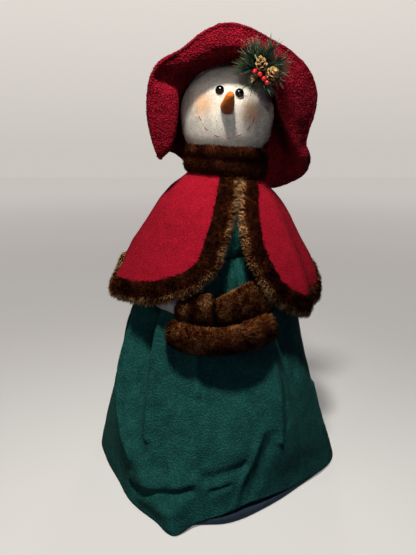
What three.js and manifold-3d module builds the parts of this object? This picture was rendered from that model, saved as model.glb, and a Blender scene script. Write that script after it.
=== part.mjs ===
// A standing fabric snow lady in a fleece dress, fur-trimmed cape and floppy bonnet, 0.68 m tall.
// Millimetres, +Z up, the face towards -Y. The origin is on the floor, under the middle of the waist.
// Azimuths are in degrees, 0 at the front and positive towards +X.
import * as THREE from "three";
import { LoftGeometry } from "three/addons/geometries/LoftGeometry.js";
import { mergeVertices } from "three/addons/utils/BufferGeometryUtils.js";
import Module from "manifold-3d";

// Driving dimensions
const gap = 0.4; // between pieces that are sewn or glued together
const baseHeight = 10;
const waistHeight = 366;
const neckTop = 500.4;
const headRadius = 71;
const headCentre = [19, 0, 572];
const jowl = 0.06; // the cheeks are this share wider than a ball
const capeThickness = 4;
const trimWidth = 31;
const collarHeight = 43;
const collarRadius = 68;
const collarCentre = [18, 0, 505.5];
const collarLean = 5; // degrees, down on the +X side
const armRadius = 14.5;
const brimThickness = 4;
const crownInside = 74.5; // radius of the crown's lining
const crownWall = 4;
const crownOffset = 26; // from the head's centre to the plane of the hat seam, along the hat's axis
const hatAxis = [0, 0.788, 0.616]; // out through the back of the crown
const eyeRadius = 5.8;
const noseRadius = 9.6;
const stitchRadius = 0.6;
const berryRadius = 3.3;

const degree = Math.PI / 180;
const vec = (x, y, z) => new THREE.Vector3(x, y, z);
const mix = (a, b, t) => a + (b - a) * t;
const bump = (x, centre, width) => Math.exp(-(((x - centre) / width) ** 2));
const angleFrom = (a, b) => ((((a - b) % 360) + 540) % 360) - 180;

// A smooth function through pairs of [place, value].
function through(pairs) {
  const slopes = pairs.map((_, i) => {
    const [x0, y0] = pairs[Math.max(i - 1, 0)];
    const [x1, y1] = pairs[Math.min(i + 1, pairs.length - 1)];
    return (y1 - y0) / (x1 - x0);
  });
  return (x) => {
    const last = pairs.length - 1;
    if (x <= pairs[0][0]) return pairs[0][1];
    if (x >= pairs[last][0]) return pairs[last][1];
    const i = pairs.findIndex((_, k) => x < pairs[k + 1][0]);
    const width = pairs[i + 1][0] - pairs[i][0];
    const t = (x - pairs[i][0]) / width;
    const a = (1 + 2 * t) * (1 - t) ** 2 * pairs[i][1] + t * (1 - t) ** 2 * width * slopes[i];
    const b = t * t * (3 - 2 * t) * pairs[i + 1][1] - t * t * (1 - t) * width * slopes[i + 1];
    return a + b;
  };
}

// The same over the azimuth, from pairs in -180 to 180, joined up behind.
function around(pairs) {
  const first = pairs.slice(0, 2).map(([a, v]) => [a + 360, v]);
  const last = pairs.slice(-2).map(([a, v]) => [a - 360, v]);
  const smooth = through([...last, ...pairs, ...first]);
  return (azimuth) => smooth(angleFrom(azimuth, 0));
}

// Solids
const wasm = await Module();
wasm.setup();

function toSolid(geometry) {
  const bare = new THREE.BufferGeometry().copy(geometry);
  bare.deleteAttribute("normal");
  bare.deleteAttribute("uv");
  const merged = mergeVertices(bare, 1e-3);
  const triVerts = new Uint32Array(merged.index.array);
  return new wasm.Manifold(
    new wasm.Mesh({ numProp: 3, vertProperties: merged.attributes.position.array, triVerts }),
  );
}

function toGeometry(solid) {
  const mesh = solid.getMesh();
  const geometry = new THREE.BufferGeometry();
  geometry.setAttribute("position", new THREE.BufferAttribute(mesh.vertProperties, 3));
  geometry.setIndex(new THREE.BufferAttribute(mesh.triVerts, 1));
  return geometry;
}

const without = (geometry, ...others) =>
  toGeometry(others.reduce((solid, other) => solid.subtract(toSolid(other)), toSolid(geometry)));

// The biggest of the bodies that a cut leaves.
function biggest(geometry) {
  const bodies = toSolid(geometry).decompose();
  return toGeometry(bodies.sort((a, b) => b.volume() - a.volume())[0]);
}

const moved = (geometry, x, y, z) => new THREE.BufferGeometry().copy(geometry).translate(x, y, z);

function volumeOf(geometry) {
  const [p, index] = [geometry.attributes.position, geometry.index.array];
  let volume = 0;
  for (let i = 0; i < index.length; i += 3) {
    const [a, b, c] = [0, 1, 2].map((k) => vec().fromBufferAttribute(p, index[i + k]));
    volume += a.dot(b.cross(c)) / 6;
  }
  return volume;
}

// A capped loft, with its sections turned whichever way makes the faces point out.
function loft(sections) {
  const made = [sections, sections.map((row) => [...row].reverse())].map(
    (rows) => new LoftGeometry(rows, { capStart: true, capEnd: true }),
  );
  return volumeOf(made[0]) > volumeOf(made[1]) ? made[0] : made[1];
}

// A sheet given as rows of points becomes a solid between two distances from its surface.
function thicken(rows, inside, outside, closed, normals = null) {
  const n = rows.length;
  const m = rows[0].length;
  const row = (i) => (closed ? rows[(i + n) % n] : rows[Math.min(Math.max(i, 0), n - 1)]);
  const normalOf = (i, j) => {
    const along = vec().subVectors(row(i + 1)[j], row(i - 1)[j]);
    const across = vec().subVectors(rows[i][Math.min(j + 1, m - 1)], rows[i][Math.max(j - 1, 0)]);
    return along.cross(across).normalize();
  };
  const positions = [];
  for (const distance of [inside, outside]) {
    rows.forEach((points, i) =>
      points.forEach((p, j) => {
        const at = p.clone().addScaledVector(normals ? normals[i][j] : normalOf(i, j), distance);
        positions.push(at.x, at.y, at.z);
      }),
    );
  }
  const corner = (layer, i, j) => (layer * n + (i % n)) * m + j;
  const index = [];
  const quad = (a, b, c, d) => index.push(a, b, c, a, c, d);
  const lastRow = closed ? n : n - 1;
  for (let i = 0; i < lastRow; i++) {
    for (let j = 0; j < m - 1; j++) {
      quad(corner(1, i, j), corner(1, i + 1, j), corner(1, i + 1, j + 1), corner(1, i, j + 1));
      quad(corner(0, i, j), corner(0, i, j + 1), corner(0, i + 1, j + 1), corner(0, i + 1, j));
    }
    quad(corner(0, i, 0), corner(0, i + 1, 0), corner(1, i + 1, 0), corner(1, i, 0));
    quad(corner(1, i, m - 1), corner(1, i + 1, m - 1), corner(0, i + 1, m - 1), corner(0, i, m - 1));
  }
  for (let j = 0; !closed && j < m - 1; j++) {
    quad(corner(1, 0, j), corner(1, 0, j + 1), corner(0, 0, j + 1), corner(0, 0, j));
    quad(corner(0, n - 1, j), corner(0, n - 1, j + 1), corner(1, n - 1, j + 1), corner(1, n - 1, j));
  }
  const geometry = new THREE.BufferGeometry();
  geometry.setAttribute("position", new THREE.Float32BufferAttribute(positions, 3));
  geometry.setIndex(index);
  return volumeOf(geometry) > 0 ? geometry : geometry.setIndex([...index].reverse());
}

// A round tube or roll along a path, with a half-height and a half-depth at each place on it.
function roll(path, halfHeight, halfDepth, steps, sides) {
  const curve = new THREE.CatmullRomCurve3(path.map((p) => vec(...p)));
  const sections = [];
  for (let i = 0; i <= steps; i++) {
    const t = i / steps;
    const centre = curve.getPoint(t);
    const tangent = curve.getTangent(t);
    const depth = vec().crossVectors(tangent, vec(0, 0, 1)).normalize();
    const height = vec().crossVectors(depth, tangent).normalize();
    const ring = [];
    for (let j = 0; j < sides; j++) {
      const angle = (j / sides) * 2 * Math.PI;
      ring.push(
        centre
          .clone()
          .addScaledVector(depth, Math.cos(angle) * halfDepth(t))
          .addScaledVector(height, Math.sin(angle) * halfHeight(t)),
      );
    }
    sections.push(ring);
  }
  return loft(sections);
}

const ringOf = (count, point) => Array.from({ length: count }, (_, i) => point((i / count) * 360 - 180));

// The dress: a bell of fleece whose folds run from the waist to the floor.
const bellHalfWidth = through([
  [0, 207], [30, 199], [66, 190], [120, 174], [190, 157],
  [265, 138], [300, 117], [330, 93], [350, 76], [366, 64],
]);
const bellMiddle = through([[0, 3], [66, 0], [190, -2], [300, 0], [366, 4]]);
const bellFront = through([[0, 1], [120, 0.97], [265, 0.9], [366, 0.95]]);
const bellBack = 0.9;

// How far the hem stands outside (+) or inside (-) the plain bell, and how high it is off the floor.
const hemSpread = around([
  [-160, -3], [-115, 2], [-95, 4], [-78, -11], [-58, -18], [-41, -7], [-25, 3], [-15.5, 15], [-9, -3],
  [4, -10], [24, -25], [46, -28], [66, -14], [81, 2], [100, 2], [130, -4], [175, -3],
]);
const hemLift = around([
  [-90, 0], [-30, 0], [-16, 0.5], [-6, 8], [6, 15], [24, 17], [46, 8], [64, 4], [84, 0.5], [100, 0], [175, 0],
]);
const hemReach = 75; // the hem's spread fades out over this height

// Folds: azimuth by height, depth by height, width in degrees.
const skirtFolds = [
  {
    at: through([[0, -15.5], [25, -22], [53, -32], [73, -38], [96, -47], [134, -56], [193, -61], [254, -64]]),
    depth: through([[0, 4], [60, 9], [134, 8], [254, 6], [320, 0]]),
    width: 9,
  },
  { at: () => -34, depth: through([[60, 0], [134, 4], [237, 7], [320, 0]]), width: 7 },
  {
    at: through([[160, -41], [280, -50]]),
    depth: through([[150, 0], [220, -6], [280, -9], [330, 0]]),
    width: 6,
  },
  { at: () => 36, depth: through([[50, 0], [132, 4], [229, 5], [320, 0]]), width: 12 },
  { at: through([[30, 11], [99, 24]]), depth: through([[0, 0], [30, -5], [99, -5], [160, 0]]), width: 8 },
  { at: () => 70, depth: through([[0, 4], [32, 6], [116, 4], [220, 0]]), width: 10 },
  { at: () => 112, depth: through([[0, 9], [120, 6], [300, 0]]), width: 10 },
  { at: () => 146, depth: through([[0, 8], [140, 7], [320, 0]]), width: 11 },
  { at: () => 180, depth: through([[0, 10], [160, 6], [320, 0]]), width: 10 },
  { at: () => -146, depth: through([[0, 8], [120, 7], [300, 0]]), width: 10 },
  { at: () => -110, depth: through([[0, 6], [160, 7], [320, 0]]), width: 9 },
];

function skirtPoint(azimuth, z, more = 0) {
  const backShare = (1 - Math.cos(azimuth * degree)) / 2;
  const depthShare = mix(bellFront(z), bellBack, backShare);
  const folds = skirtFolds.reduce(
    (sum, fold) => sum + fold.depth(z) * bump(angleFrom(azimuth, fold.at(z)), 0, fold.width),
    0,
  );
  const spread = hemSpread(azimuth) * bump(z, 0, hemReach);
  const radius = bellHalfWidth(z) + folds + spread + more;
  return vec(
    bellMiddle(z) + radius * Math.sin(azimuth * degree),
    -radius * depthShare * Math.cos(azimuth * degree),
    z,
  );
}

// The base fills the bell, and comes out to the hem only where the hem is raised.
const baseInset = around([
  [-90, 16], [-20, 14], [-4, 3.5], [30, 3], [60, 3.5], [84, 10], [120, 16], [175, 16],
]);
const skirtSides = 42;

const basePoint = (azimuth, z, more = 0) => {
  const p = skirtPoint(azimuth, 0, more - baseInset(azimuth));
  return vec(p.x, p.y, z);
};

function baseGeometry() {
  const level = (z, more) => ringOf(skirtSides, (azimuth) => basePoint(azimuth, z, more));
  return loft([level(0, -1.5), level(2, 0), level(baseHeight - 2, 0), level(baseHeight, -1.5)]);
}

function bellGeometry(more = 0) {
  const shares = [0, 0.05, 0.13, 0.23, 0.35, 0.48, 0.61, 0.73, 0.83, 0.92, 1];
  return loft(
    shares.map((share) =>
      ringOf(skirtSides, (azimuth) => skirtPoint(azimuth, mix(hemLift(azimuth), waistHeight, share), more)),
    ),
  );
}

function skirtGeometry() {
  const level = (z) => ringOf(skirtSides, (azimuth) => basePoint(azimuth, z, gap));
  return without(bellGeometry(), loft([level(-1), level(baseHeight + gap)]));
}

// The bodice and the neck that carries the head.
const bodiceHalfWidth = through([
  [366, 61], [380, 66], [420, 71], [448, 66], [466, 50], [480, 42], [501, 39],
]);
const leanOf = through([[366, 4], [440, 8], [501, 18]]);

function bodiceGeometry(more = 0) {
  const heights = [waistHeight + gap, 378, 400, 424, 448, 466, 480, neckTop];
  return loft(
    heights.map((z) =>
      ringOf(20, (azimuth) => {
        const radius = bodiceHalfWidth(z) + more;
        return vec(
          leanOf(z) + radius * Math.sin(azimuth * degree),
          -0.94 * radius * Math.cos(azimuth * degree),
          z,
        );
      }),
    ),
  );
}

// Arms run down inside the cape and forward into the fur cuffs.
const armPaths = {
  left: [
    [-50, 0, 446], [-76, -5, 420], [-98, -20, 382], [-110, -50, 342],
    [-101, -84, 312], [-75, -105, 300], [-48, -116, 305],
  ],
  right: [
    [60, 0, 446], [90, -4, 424], [108, -18, 388], [115, -48, 350],
    [107, -80, 322], [88, -97, 311], [66, -104, 318],
  ],
};
const armGeometry = (side, more = 0) =>
  roll(armPaths[side], () => armRadius + more, () => armRadius + more, 12, 8);

const cuffs = {
  left: {
    path: [[-53, -116, 304], [-38, -122, 307], [-21, -127, 309], [-5, -130, 311]],
    half: through([[0, 13], [0.12, 17], [0.5, 19.5], [0.88, 17.5], [1, 12]]),
  },
  right: {
    path: [[78, -100, 311], [60, -107, 318], [34, -119, 313], [4, -131, 303]],
    half: through([[0, 12], [0.14, 18], [0.4, 23], [0.85, 19], [1, 13]]),
  },
};
const cuffGeometry = (side, more = 0) =>
  roll(cuffs[side].path, (t) => cuffs[side].half(t) + more, (t) => cuffs[side].half(t) + more, 6, 12);

const muffPath = [[-64, -120, 276], [-32, -138, 270], [10, -146, 269], [50, -140, 276], [84, -118, 283]];
const muffHalfHeight = through([[0, 13], [0.08, 20], [0.3, 22], [0.6, 23], [0.92, 21], [1, 13]]);
const muffHalfDepth = through([[0, 10], [0.08, 16], [0.5, 20], [0.92, 16], [1, 10]]);
const muffGeometry = () => roll(muffPath, muffHalfHeight, muffHalfDepth, 12, 12);

// The cape: a cone over the shoulders, flatter at the back, with a pleat on each side.
const capeHalfWidth = through([
  [230, 160], [270, 163], [317, 164], [344, 154], [370, 141],
  [405, 121], [440, 100], [465, 78], [480, 62], [490, 53],
]);
const capeMiddle = through([[230, 0], [317, 1], [344, 5], [405, 6.5], [465, 8], [490, 14]]);
const capeFront = through([[230, 0.9], [330, 0.89], [400, 0.85], [460, 0.86], [490, 1]]);
const capeBack = 0.76;
const capeFolds = [
  { at: -72, depth: 7, width: 9 },
  { at: -90, depth: -9, width: 8 },
  { at: 52, depth: 8, width: 8 },
  { at: 68, depth: -9, width: 7 },
  { at: -128, depth: 8, width: 14 },
  { at: 180, depth: 9, width: 14 },
  { at: 130, depth: 8, width: 14 },
];
const foldStart = 460; // the folds deepen from this height down

function capePoint(azimuth, z, more = 0) {
  const frontShare = (1 + Math.cos(azimuth * degree)) / 2;
  const depthShare = mix(capeBack, capeFront(z), frontShare);
  const growth = Math.min(Math.max((foldStart - z) / 160, 0), 1);
  const folds = capeFolds.reduce(
    (sum, fold) => sum + fold.depth * growth * bump(angleFrom(azimuth, fold.at), 0, fold.width),
    0,
  );
  const radius = capeHalfWidth(z) + folds + more;
  return vec(
    capeMiddle(z) + radius * Math.sin(azimuth * degree),
    -radius * depthShare * Math.cos(azimuth * degree),
    z,
  );
}

// The collar leans, so the cape's neck edge under it does too.
const collarBottom = (x) =>
  collarCentre[2] - collarHeight / 2 - Math.tan(collarLean * degree) * (x - collarCentre[0]);
const neckEdge = (azimuth) => collarBottom(14 + 58 * Math.sin(azimuth * degree)) - gap - 0.6;

// Free edge of the cape as [azimuth, height]: down one front edge, round behind, and up the other.
const meeting = 26;
const capeEdge = new THREE.CatmullRomCurve3(
  [
    [meeting, neckEdge(meeting)], [19, 460], [13.8, 440], [8.5, 413], [3.1, 383], [-1, 357], [-7.9, 340],
    [-14, 328], [-23.9, 316], [-31.4, 309], [-45.6, 303], [-60, 300], [-90, 298], [-135, 296], [-180, 296],
    [-225, 294], [-270, 286], [-302, 278], [-311, 282], [-322, 297], [-330.6, 315], [-335.5, 332],
    [-340.2, 355], [-343.8, 375], [-344.8, 407], [-344.4, 432], [-340, 460],
    [meeting - 359.4, neckEdge(meeting)],
  ].map(([a, z]) => vec(a, z, 0)),
);
const capeNormal = (azimuth, z) => {
  const down = capePoint(azimuth, z - 1).sub(capePoint(azimuth, z + 1));
  const across = capePoint(azimuth + 0.5, z).sub(capePoint(azimuth - 0.5, z));
  return across.cross(down.negate()).normalize();
};

// The seam between fleece and fur lies one trim width inside the edge, measured on the cloth.
function seamOf(share) {
  const edge = capeEdge.getPointAt(share);
  const on = capePoint(edge.x, edge.y);
  const before = capeEdge.getPointAt(Math.max(share - 0.004, 0));
  const after = capeEdge.getPointAt(Math.min(share + 0.004, 1));
  const along = capePoint(after.x, after.y).sub(capePoint(before.x, before.y)).normalize();
  const inward = along.cross(capeNormal(edge.x, edge.y)).normalize();
  const target = on.clone().addScaledVector(inward, trimWidth);
  const z = Math.min(target.z, neckEdge(edge.x));
  const frontShare = (1 + Math.cos(edge.x * degree)) / 2;
  const depthShare = mix(capeBack, capeFront(z), frontShare);
  const azimuth = Math.atan2(target.x - capeMiddle(z), -target.y / depthShare) / degree;
  return { azimuth: edge.x + angleFrom(azimuth, edge.x), z };
}

const trimSteps = 46;
const seam = Array.from({ length: trimSteps + 1 }, (_, i) => seamOf(i / trimSteps));

function trimGeometry() {
  const profile = [
    [0, -3.5], [0, 2], [0.2, 6], [0.5, 7.5], [0.8, 6], [0.97, 1.5], [0.95, -2.5], [0.75, -4.5], [0.3, -4.5],
  ];
  const sections = seam.map((at, i) => {
    const edge = capeEdge.getPointAt(i / trimSteps);
    const from = capePoint(at.azimuth, at.z);
    const to = capePoint(edge.x, edge.y);
    const outAtSeam = capeNormal(at.azimuth, at.z);
    const outAtEdge = capeNormal(edge.x, edge.y);
    const start = gap / trimWidth;
    const fromEnd = Math.min(i, trimSteps - i) / trimSteps;
    const pile = mix(0.2, 1, THREE.MathUtils.smoothstep(fromEnd, 0, 0.06)); // flat under the collar
    return profile.map(([share, height]) =>
      from
        .clone()
        .lerp(to, start + share * (1 - start))
        .addScaledVector(outAtSeam.clone().lerp(outAtEdge, share).normalize(), height * pile),
    );
  });
  return loft(sections);
}

// Fleece of the cape: a four-sided patch between the neck and the seam.
function capeGeometry() {
  const sideSteps = 6; // trim steps that run along each front edge
  const seamAt = (i) => vec(seam[i].azimuth, seam[i].z, 0);
  const left = Array.from({ length: sideSteps + 1 }, (_, j) => seamAt(j));
  const right = Array.from({ length: sideSteps + 1 }, (_, j) => seamAt(trimSteps - j));
  const hem = seam.slice(sideSteps, trimSteps - sideSteps + 1).map(({ azimuth, z }) => vec(azimuth, z, 0));
  const columns = hem.length - 1;
  const neck = hem.map((_, i) => {
    const azimuth = mix(left[0].x, right[0].x, i / columns);
    return vec(azimuth, neckEdge(azimuth), 0);
  });
  const places = hem.map((low, i) =>
    left.map((_, j) => {
      const [u, v] = [i / columns, j / sideSteps];
      const ruled = neck[i].clone().lerp(low, v).add(left[j].clone().lerp(right[j], u));
      const corners = neck[0].clone().lerp(neck[columns], u).lerp(hem[0].clone().lerp(hem[columns], u), v);
      return ruled.sub(corners);
    }),
  );
  const rows = places.map((row) => row.map((at) => capePoint(at.x, at.y)));
  const normals = places.map((row) => row.map((at) => capeNormal(at.x, at.y)));
  return thicken(rows, -capeThickness, 0, false, normals);
}

// The head: a ball with fuller cheeks, on a vertical axis.
const headWidening = (z) => 1 + jowl * bump(z, -42, 18);

function headGeometry(more = 0) {
  const geometry = new THREE.SphereGeometry(headRadius + more, 20, 13).rotateX(Math.PI / 2);
  const p = geometry.attributes.position;
  for (let i = 0; i < p.count; i++) {
    const wide = headWidening(p.getZ(i));
    p.setXY(i, p.getX(i) * wide, p.getY(i) * wide);
  }
  return geometry.translate(...headCentre);
}

// A point on the face, by azimuth and elevation on the ball, some distance off its surface.
function onFace(azimuth, elevation, off = 0) {
  const z = headRadius * Math.sin(elevation * degree);
  const flat = headRadius * Math.cos(elevation * degree) * headWidening(z);
  const p = vec(flat * Math.sin(azimuth * degree), -flat * Math.cos(azimuth * degree), z);
  return p.addScaledVector(p.clone().normalize(), off).add(vec(...headCentre));
}

const eyes = { left: [-11.3, 23.5], right: [12.4, 19.6] };

function eyeGeometry(side) {
  const profile = [[0, 0], [1, 0], [0.98, 0.35], [0.8, 0.8], [0.42, 1.08], [0, 1.15]];
  const geometry = new THREE.LatheGeometry(
    profile.map(([x, y]) => new THREE.Vector2(x * eyeRadius, y * eyeRadius)),
    12,
  );
  const at = onFace(...eyes[side], gap);
  const out = at.clone().sub(vec(...headCentre)).normalize();
  geometry.applyQuaternion(new THREE.Quaternion().setFromUnitVectors(vec(0, 1, 0), out));
  return geometry.translate(at.x, at.y, at.z);
}

// The carrot grows straight out of the face and then bends up.
function noseGeometry() {
  const root = onFace(-2.1, 4.5, gap + 0.4);
  const path = new THREE.CatmullRomCurve3([
    root, root.clone().add(vec(0.4, -9, 1.5)), root.clone().add(vec(1.8, -20, 7)),
    root.clone().add(vec(3.6, -30, 15.5)),
  ]);
  const radius = through([
    [0, noseRadius - 0.8], [0.12, noseRadius], [0.45, 8.2], [0.8, 5], [0.95, 3.2], [1, 1.6],
  ]);
  const sections = [];
  for (let i = 0; i <= 7; i++) {
    const t = i / 7;
    const tangent = i === 0 ? root.clone().sub(vec(...headCentre)) : path.getTangent(t);
    const turn = new THREE.Quaternion().setFromUnitVectors(vec(0, 0, 1), tangent.normalize());
    const centre = path.getPoint(t);
    const onCircle = (a) => vec(Math.cos(a * degree), Math.sin(a * degree), 0).multiplyScalar(radius(t));
    sections.push(ringOf(10, (a) => onCircle(a).applyQuaternion(turn).add(centre)));
  }
  return loft(sections);
}

// The smile: stitches on a circle drawn on the face, in degrees from straight down.
const smile = { middle: [-2, 5], radius: 34.7, stitches: [-70, -47, -22, 3, 26, 49, 66], half: 4.6 };

function stitchGeometry(place) {
  const on = (angle) =>
    onFace(
      smile.middle[0] + smile.radius * Math.sin(angle * degree),
      smile.middle[1] - smile.radius * Math.cos(angle * degree),
      gap + stitchRadius,
    );
  const path = new THREE.CatmullRomCurve3([on(place - smile.half), on(place), on(place + smile.half)]);
  const section = new THREE.Shape().absarc(0, 0, stitchRadius, 0, 2 * Math.PI);
  return new THREE.ExtrudeGeometry(section, { steps: 2, curveSegments: 2, extrudePath: path });
}

// The fur collar: a thick ring that holds the chin.
function collarGeometry() {
  const half = collarHeight / 2;
  const profile = [
    [46, -half], [62, -half], [67, -half + 6], [collarRadius, -2], [67, half - 9],
    [63.5, half - 1], [58, half], [46, half], [46, -half],
  ];
  const ring = new THREE.LatheGeometry(
    profile.map(([x, y]) => new THREE.Vector2(x, y)),
    24,
  )
    .rotateX(Math.PI / 2)
    .rotateY(collarLean * degree)
    .translate(...collarCentre);
  return without(ring, headGeometry(gap + 0.3));
}

// The hat: a crown on the back of the head, and a brim that runs forward and then turns out.
const axis = vec(...hatAxis).normalize();
const sideways = vec(1, 0, 0);
const upward = vec().crossVectors(sideways, axis).normalize();
const seamRadius = Math.sqrt(crownInside ** 2 - crownOffset ** 2) + crownWall / 2;

function onSeam(angle, offset) {
  return vec(...headCentre)
    .addScaledVector(axis, offset)
    .addScaledVector(sideways, seamRadius * Math.cos(angle))
    .addScaledVector(upward, seamRadius * Math.sin(angle));
}

function crownGeometry() {
  const start = Math.asin(crownOffset / crownInside);
  const puff = 1.12;
  const dome = (radius, angle) => {
    const height = crownOffset + (radius * Math.sin(angle) - crownOffset) * puff;
    return new THREE.Vector2(radius * Math.cos(angle), height);
  };
  const steps = 5;
  const angles = Array.from({ length: steps + 1 }, (_, i) => mix(start, Math.PI / 2, i / steps));
  const inner = angles.map((a) => dome(crownInside, a)).reverse();
  const outer = angles.map((a) => dome(crownInside + crownWall, a));
  inner.forEach((p) => (p.x = Math.max(p.x, 0)));
  inner[0].x = 0;
  outer[steps].x = 0;
  outer[0] = new THREE.Vector2(inner[steps].x + crownWall, crownOffset);
  return new THREE.LatheGeometry([...inner, ...outer], 24)
    .applyQuaternion(new THREE.Quaternion().setFromUnitVectors(vec(0, 1, 0), axis))
    .translate(...headCentre);
}

const brimSteps = 7;

// Outer edge of the brim, and the crest where it turns out, from the left tip over the top and round.
const brimEdge = [
  [-83, -45, 508], [-92, -57, 540], [-96, -64, 575], [-93, -70, 601], [-87, -72, 619], [-75, -80, 634],
  [-44, -86, 650], [-20, -88, 667], [11, -88, 679], [42, -86, 675], [72, -80, 662], [100, -74, 649],
  [126, -65, 628], [143, -54, 599], [143, -46, 571], [136, -39, 546], [134, -34, 528], [143, -26, 510],
  [140, -5, 488], [124, 20, 471], [98, 45, 460], [66, 72, 462], [20, 84, 468], [-26, 76, 482],
  [-57, 48, 509], [-73, 16, 519], [-82, -14, 514],
];
const brimCrest = [
  [-67, -58, 522], [-61, -66, 541], [-55, -72, 567], [-54, -75, 593], [-57, -62, 611], [-53, -84, 626],
  [-33, -92, 632], [-8, -98, 643], [15, -100, 648], [40, -98, 645], [64, -93, 635], [82, -86, 617],
  [89, -82, 600], [88, -79, 585], [93, -73, 566], [102, -66, 547], [112, -58, 530], [124, -46, 510],
  [130, -22, 492], [116, 6, 480], [94, 34, 470], [68, 66, 474], [20, 80, 480], [-24, 72, 492],
  [-52, 46, 518], [-66, 14, 526], [-70, -22, 524],
];

// The brim passes outside the head and, behind the neck, outside the collar.
function pushedOut(p) {
  const from = p.clone().sub(vec(...headCentre));
  const least = (headRadius + brimThickness) * headWidening(from.z) + 0.6;
  if (from.length() < least) p.addScaledVector(from.clone().normalize(), least - from.length());
  const flat = vec(p.x - collarCentre[0], p.y, 0);
  const room = collarRadius + brimThickness / 2 + 1;
  const collarTop = collarBottom(p.x) + collarHeight;
  const low = 1 - THREE.MathUtils.smoothstep(p.z, collarTop - 4, collarTop + 6);
  if (flat.length() < room) p.addScaledVector(flat.clone().normalize(), (room - flat.length()) * low);
  return p;
}

function brimRows(count) {
  const edge = new THREE.CatmullRomCurve3(brimEdge.map((p) => vec(...p)), true);
  const crest = new THREE.CatmullRomCurve3(brimCrest.map((p) => vec(...p)), true);
  const middle = vec(...headCentre).addScaledVector(axis, crownOffset);
  const rows = [];
  for (let i = 0; i < count; i++) {
    const end = edge.getPoint(i / count);
    const turn = crest.getPoint(i / count);
    const reach = end.clone().sub(middle);
    const angle = Math.atan2(reach.dot(upward), reach.dot(sideways));
    // Over the face the brim runs on from the crown, and behind the neck it turns straight out.
    const hug = THREE.MathUtils.smoothstep(Math.sin(angle), -0.85, -0.1);
    const start = onSeam(angle, crownOffset - gap - 0.4 - (1 - hug) * (brimThickness / 2));
    const radial = start.clone().sub(middle).projectOnPlane(axis).normalize();
    const begin = start.clone().addScaledVector(axis, -9 * hug).addScaledVector(radial, 9 * (1 - hug));
    const outward = begin.clone().sub(vec(...headCentre)).normalize();
    const throat = begin.clone().lerp(turn, 0.45).addScaledVector(outward, 5);
    const profile = new THREE.CatmullRomCurve3([start, begin, throat, turn, end], false, "centripetal");
    rows.push(profile.getSpacedPoints(brimSteps).map((p, j) => (j > 0 ? pushedOut(p) : p)));
  }
  return rows;
}

const brimGeometry = () => thicken(brimRows(34), -brimThickness / 2, brimThickness / 2, true);

// The trimming on the brim: a spray of needles with cones and berries in front of it, held by its stems.
const sprayMiddle = [59, -98, 622];
const sprayFoot = [68, -89, 641];
const cones = [
  { at: [56.8, -117, 626.5], radius: 8.2, length: 19, lean: [-0.2, -0.75, 0.6] },
  { at: [72.6, -115, 614.5], radius: 8.8, length: 19, lean: [0.35, -0.85, 0.2] },
  { at: [47.4, -111, 608], radius: 3.8, length: 12, lean: [-0.35, -0.4, -0.85] },
];
const berries = [[49.2, -116, 616.6], [55.2, -120.5, 612.4], [60.6, -121, 607.2], [65.5, -112.5, 603.4]];

function coneGeometry({ at, radius, length, lean }) {
  const rings = 5;
  const points = [new THREE.Vector2(0, 0)];
  for (let i = 0; i < rings; i++) {
    const t = (i + 0.5) / rings;
    const wide = radius * Math.sin(Math.PI * (0.12 + 0.8 * t)) ** 0.7;
    points.push(new THREE.Vector2(wide * 0.8, (i / rings) * length + 0.6));
    points.push(new THREE.Vector2(wide, ((i + 0.62) / rings) * length));
  }
  points.push(new THREE.Vector2(0, length));
  const turn = new THREE.Quaternion().setFromUnitVectors(vec(0, 1, 0), vec(...lean).normalize());
  return new THREE.LatheGeometry(points, 8)
    .translate(0, -length / 2, 0)
    .applyQuaternion(turn)
    .translate(...at);
}

const berryGeometry = (at, more = 0) => new THREE.SphereGeometry(berryRadius + more, 8, 6).translate(...at);

function sprayGeometry(brim) {
  const tufts = 18;
  const core = new THREE.SphereGeometry(1, 8, 6).scale(14, 8, 14).translate(...sprayMiddle);
  let solid = toSolid(core);
  for (let i = 0; i < tufts; i++) {
    const angle = (i / tufts) * 2 * Math.PI;
    const ring = i % 3;
    const forward = [-0.12, -0.42, -0.8][ring];
    const reach = [39, 37, 31][ring];
    const lean = vec(Math.cos(angle), forward, Math.sin(angle)).normalize();
    const turn = new THREE.Quaternion().setFromUnitVectors(vec(0, 1, 0), lean);
    const tuft = new THREE.ConeGeometry(4.8, reach, 4).translate(0, reach / 2, 0).applyQuaternion(turn);
    solid = solid.add(toSolid(tuft.translate(...sprayMiddle)));
  }
  const run = vec(...sprayFoot).sub(vec(...sprayMiddle));
  const upright = new THREE.Quaternion().setFromUnitVectors(vec(0, 1, 0), run.clone().normalize());
  const stems = new THREE.CylinderGeometry(5.5, 7, run.length(), 5).translate(0, run.length() / 2, 0);
  solid = solid.add(toSolid(stems.applyQuaternion(upright).translate(...sprayMiddle)));
  const held = [
    ...cones.map((cone) => coneGeometry({ ...cone, radius: cone.radius + 0.5, length: cone.length + 1 })),
    ...berries.map((at) => berryGeometry(at, 0.5)),
  ];
  return biggest(without(toGeometry(solid), brim, moved(brim, 0, -0.5, 0), moved(brim, 0, -0.25, -0.4), ...held));
}

// Assembly
const doll = new THREE.Group();

function add(name, geometry, color, roughness, metalness = 0) {
  const mesh = new THREE.Mesh(geometry, new THREE.MeshStandardMaterial({ color, roughness, metalness }));
  mesh.name = name;
  doll.add(mesh);
}

const green = 0x174038;
const crimson = 0x9c1529;
const darkRed = 0x8a1528;
const fur = 0x4a2c17;
const white = 0xe8e2d2;

add("base", baseGeometry(), 0x1b3546, 0.9);
add("skirt", skirtGeometry(), green, 0.95);
add("bodice", bodiceGeometry(), green, 0.95);

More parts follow.
